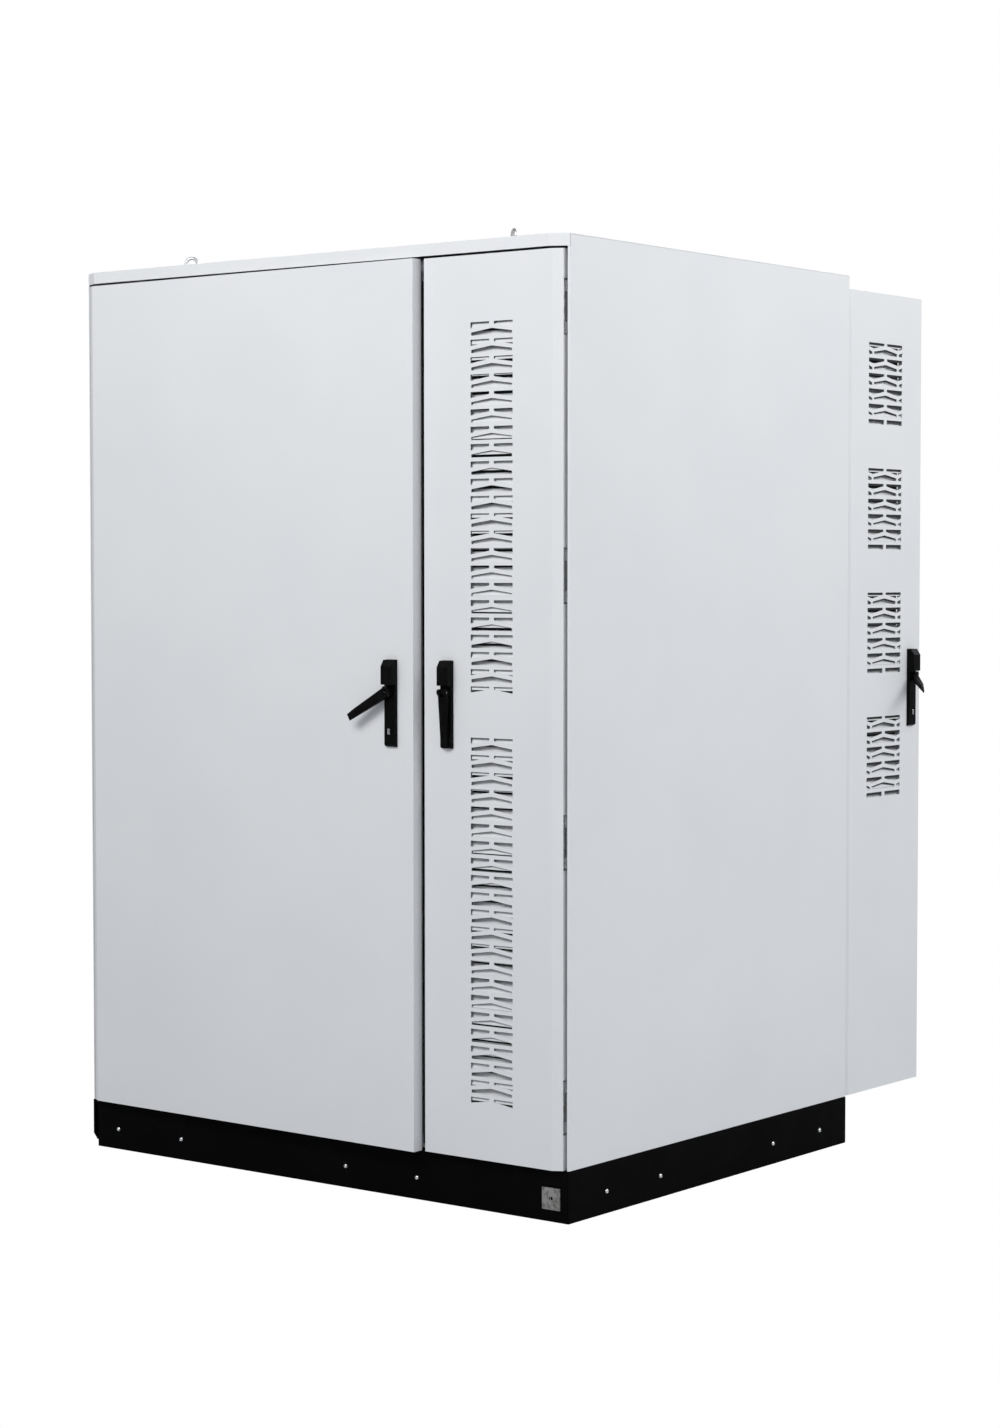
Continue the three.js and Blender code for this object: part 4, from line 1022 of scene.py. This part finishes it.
# -------- power bay
def fan_guard(name, unit, fan):
    """Wire guard over a fan well: rings on four spokes, screwed at the corners."""
    low, high = box_mm(fan)
    x, z = (low.x + high.x) / 2, (low.z + high.z) / 2
    reach = (high.x - low.x) / 2 + 8
    front = box_mm(unit)[0].y
    shape = Shape()
    wire = round_section(1.5, 10)
    rings = 6
    for i in range(1, rings + 1):
        shape.sweep(ring_path((x, front - 5.0, z), reach * i / rings), wire, closed=True)
    for i in range(4):
        angle = math.pi / 4 + i * math.pi / 2
        across, up = math.cos(angle), math.sin(angle)
        far = reach + 14
        shape.sweep([
            (x + across * 8, front - 2.0, z + up * 8),
            (x + across * (far - 6), front - 2.0, z + up * (far - 6)),
            (x + across * far, front - 1.8, z + up * far),
        ], wire)
        hex_bolt(shape, (x + across * far, front - 0.1, z + up * far), "Y", -1, 4.4, 4.4)
    shape.lathe([(0, -7.4), (15, -7.4), (16.5, -6.0), (16.5, -4.2), (0, -4.2)], (x, front, z), "Y", 32)
    shape.piece(name, "cabinet", *ZINC)


def unit_front(unit, slots_z, name):
    """Louvre slats in a frame, and the screws of the front plate."""
    low, high = box_mm(unit)
    front = low.y
    x = (low.x + 34, high.x - 34)
    shape = Shape()
    thick = (front - 4, front - 0.2)
    for bottom in (slots_z[0] - 12, slots_z[1]):
        shape.box((x[0] - 8, x[1] + 8), thick, (bottom, bottom + 12))
    for edge in (x[0] - 8, x[1]):
        shape.box((edge, edge + 8), thick, (slots_z[0] - 0.5, slots_z[1] + 0.5))
    pitch = 17.0
    for i in range(int((slots_z[1] - slots_z[0]) / pitch)):
        z = slots_z[0] + i * pitch + 3
        slat = [(0.3, 10), (7.0, 0), (8.0, 1.2), (1.2, 11.8), (0.3, 11.8)]
        shape.prism([(front - out, z + up) for out, up in slat], x=(x[0] - 0.5, x[1] + 0.5))
    shape.piece(f"{name}_grille", "cabinet", "black_plastic", "fan_plastic", bevel=0.4)

    shape = Shape()
    for z in (low.z + 16, (low.z + high.z) / 2, high.z - 16):
        for across in (low.x + 13, high.x - 13):
            socket_screw(shape, (across, front, z), "Y", -1, 4.2, 2.6)
    shape.piece(f"{name}_screws", "cabinet", *ZINC)


def unit_back(unit, name, fins_z):
    """Upright cooling fins on the back of a unit, between two end brackets."""
    low, high = box_mm(unit)
    back = high.y
    x = (low.x + 24, high.x - 24)
    shape = Shape()
    pitch = 8.0
    count = int((x[1] - x[0]) / pitch)
    for i in range(count + 1):
        shape.box((x[0] + i * pitch, x[0] + i * pitch + 1.6), (back - 1, back + 26), fins_z)
    for end in (fins_z[0] - 6, fins_z[1]):
        shape.box((x[0] - 6, x[1] + 8), (back + 0.2, back + 28), (end, end + 6))
    shape.piece(f"{name}_fins", "cabinet", "fins", "zinc_steel")


def power_bay_wiring():
    """Black supply cables and the cooling lines between the two units."""
    converter = box_mm("power_converter")[0]
    cooler = box_mm("cooling_unit")[1]
    glands, cables = Shape(), Shape()
    y = converter.y + 40
    for i in range(4):
        x = 440.0 + i * 46
        profile = [(0, 0.2), (14, 0.2, 6), (14, 7, 6), (11.5, 8), (11.5, 17), (8.8, 20), (0, 20)]
        glands.lathe(profile, (x, y, converter.z), "Z", 24, -1)
        cables.sweep(smooth_path([
            (x, y, converter.z - 12),
            (x, y, converter.z - 34),
            (x - 18, y + 26, converter.z - 62),
            (x - 20, y + 110, converter.z - 76),
            (x - 20, y + 330, converter.z - 78),
        ]), round_section(7.5, 16))
    glands.piece("cable_glands", "cabinet", "black_plastic", "fan_plastic")
    cables.piece("supply_cables", "cabinet", "black_cable", "seal_rubber")

    pipes = Shape()
    wall = box_mm("bay_partition")[1].x
    for i in range(2):
        x, depth, height = 618.0 + i * 34, y + 66 + i * 6, cooler.z + 46 - i * 20
        pipes.sweep(smooth_path([
            (x, depth - 6, cooler.z - 4),
            (x, depth - 6, cooler.z + 26),
            (x - 22, depth, height - 2),
            (x - 90, depth, height),
            (wall + 40, depth, height),
            (wall + 0.4, depth, height),
        ]), round_section(8.5, 18))
    pipes.piece("coolant_lines", "cabinet", "black_cable", "seal_rubber")


# -------- stage, lights, camera
CAMERA_PLACE = (4.606, -5.8195, 1.4586)
CAMERA_YAW = 37.50
CAMERA_DOWN = 2.796
CAMERA_LENS = 74.04
CAMERA_SHIFT = -0.0099


def seen_or_lit(nodes, links, seen, lit, surface):
    """Sends one shader to the camera's own rays and another to all other rays."""
    path = nodes.new("ShaderNodeLightPath")
    mix = nodes.new("ShaderNodeMixShader")
    links.new(path.outputs["Is Camera Ray"], mix.inputs["Fac"])
    links.new(lit, mix.inputs[1])
    links.new(seen, mix.inputs[2])
    links.new(mix.outputs["Shader"], surface)


def white_floor():
    """Floor that the camera sees as plain white, and that lights the object as a pale floor does."""
    material = bpy.data.materials.new("studio_white")
    material.use_nodes = True
    nodes, links = material.node_tree.nodes, material.node_tree.links
    nodes.clear()
    seen = nodes.new("ShaderNodeEmission")
    seen.inputs["Strength"].default_value = 1.0
    pale = nodes.new("ShaderNodeBsdfDiffuse")
    pale.inputs["Color"].default_value = (0.47, 0.485, 0.51, 1.0)
    surface = nodes.new("ShaderNodeOutputMaterial").inputs["Surface"]
    seen_or_lit(nodes, links, seen.outputs["Emission"], pale.outputs["BSDF"], surface)
    mesh = bpy.data.meshes.new("studio_floor")
    size = 60.0
    corners = [(-size, -size, -0.001), (size, -size, -0.001), (size, size, -0.001), (-size, size, -0.001)]
    mesh.from_pydata(corners, [], [(0, 1, 2, 3)])
    mesh.materials.append(material)
    floor = bpy.data.objects.new("studio_floor", mesh)
    show(floor)


def white_world(strength):
    world = bpy.data.worlds.new("studio_world")
    world.use_nodes = True
    nodes, links = world.node_tree.nodes, world.node_tree.links
    light = nodes["Background"]
    light.inputs["Color"].default_value = (0.945, 0.97, 1.0, 1.0)
    light.inputs["Strength"].default_value = strength
    seen = nodes.new("ShaderNodeBackground")
    seen.inputs["Color"].default_value = (1.0, 1.0, 1.0, 1.0)
    surface = nodes["World Output"].inputs["Surface"]
    seen_or_lit(nodes, links, seen.outputs["Background"], light.outputs["Background"], surface)
    bpy.context.scene.world = world


def softbox(name, place, aim, size, power):
    light = bpy.data.lights.new(name, "AREA")
    light.shape = "RECTANGLE"
    light.size, light.size_y = size
    light.energy = power
    lamp = bpy.data.objects.new(name, light)
    lamp.location = place
    lamp.rotation_euler = (Vector(aim) - Vector(place)).to_track_quat("-Z", "Y").to_euler()
    lamp.visible_camera = False
    show(lamp)


def studio():
    white_floor()
    white_world(0.44)
    softbox("front_softbox", (0.3, -4.0, 4.0), (0.2, -0.6, 1.65), (3.6, 1.6), 136.0)
    softbox("side_softbox", (4.3, 0.6, 3.7), (0.7, 0.1, 1.35), (3.6, 1.6), 117.0)
    softbox("rear_softbox", (0.0, 4.4, 4.0), (0.0, 0.6, 1.7), (4.4, 1.6), 120.0)
    camera = bpy.data.cameras.new("camera")
    camera.lens = CAMERA_LENS
    camera.shift_x = CAMERA_SHIFT
    viewpoint = bpy.data.objects.new("camera", camera)
    viewpoint.location = CAMERA_PLACE
    viewpoint.rotation_euler = (math.radians(90 - CAMERA_DOWN), 0, math.radians(CAMERA_YAW))
    show(viewpoint)
    bpy.context.scene.camera = viewpoint
    bpy.context.scene.view_settings.view_transform = "Standard"


# -------- assembly
finish_cad_nodes()
plinth_screws()
earthing_detail()
lifting_eyes()
centre_gap_shade_strip()
for door_key in DOORS:
    handle_details(door_key)
    rod_guides(door_key)
    rod_rollers(door_key)
    hinge_sleeves(door_key)
battery_door_inside()
for vented_door in VENTS:
    filter_frame(vented_door)
    paint_vent_shadows(vented_door)
pack_fronts()
power_cables()
coolant_pipes()
switch_box_front()
cable_duct()
fan_guard("converter_fan_guard", "power_converter", "converter_fan")
fan_guard("cooling_fan_guard", "cooling_unit", "cooling_fan")
unit_front("power_converter", (1290.0, 1660.0), "converter")
unit_front("cooling_unit", (210.0, 620.0), "cooler")
unit_back("power_converter", "converter", (1300.0, 2000.0))
unit_back("cooling_unit", "cooler", (220.0, 1060.0))
power_bay_wiring()
studio()
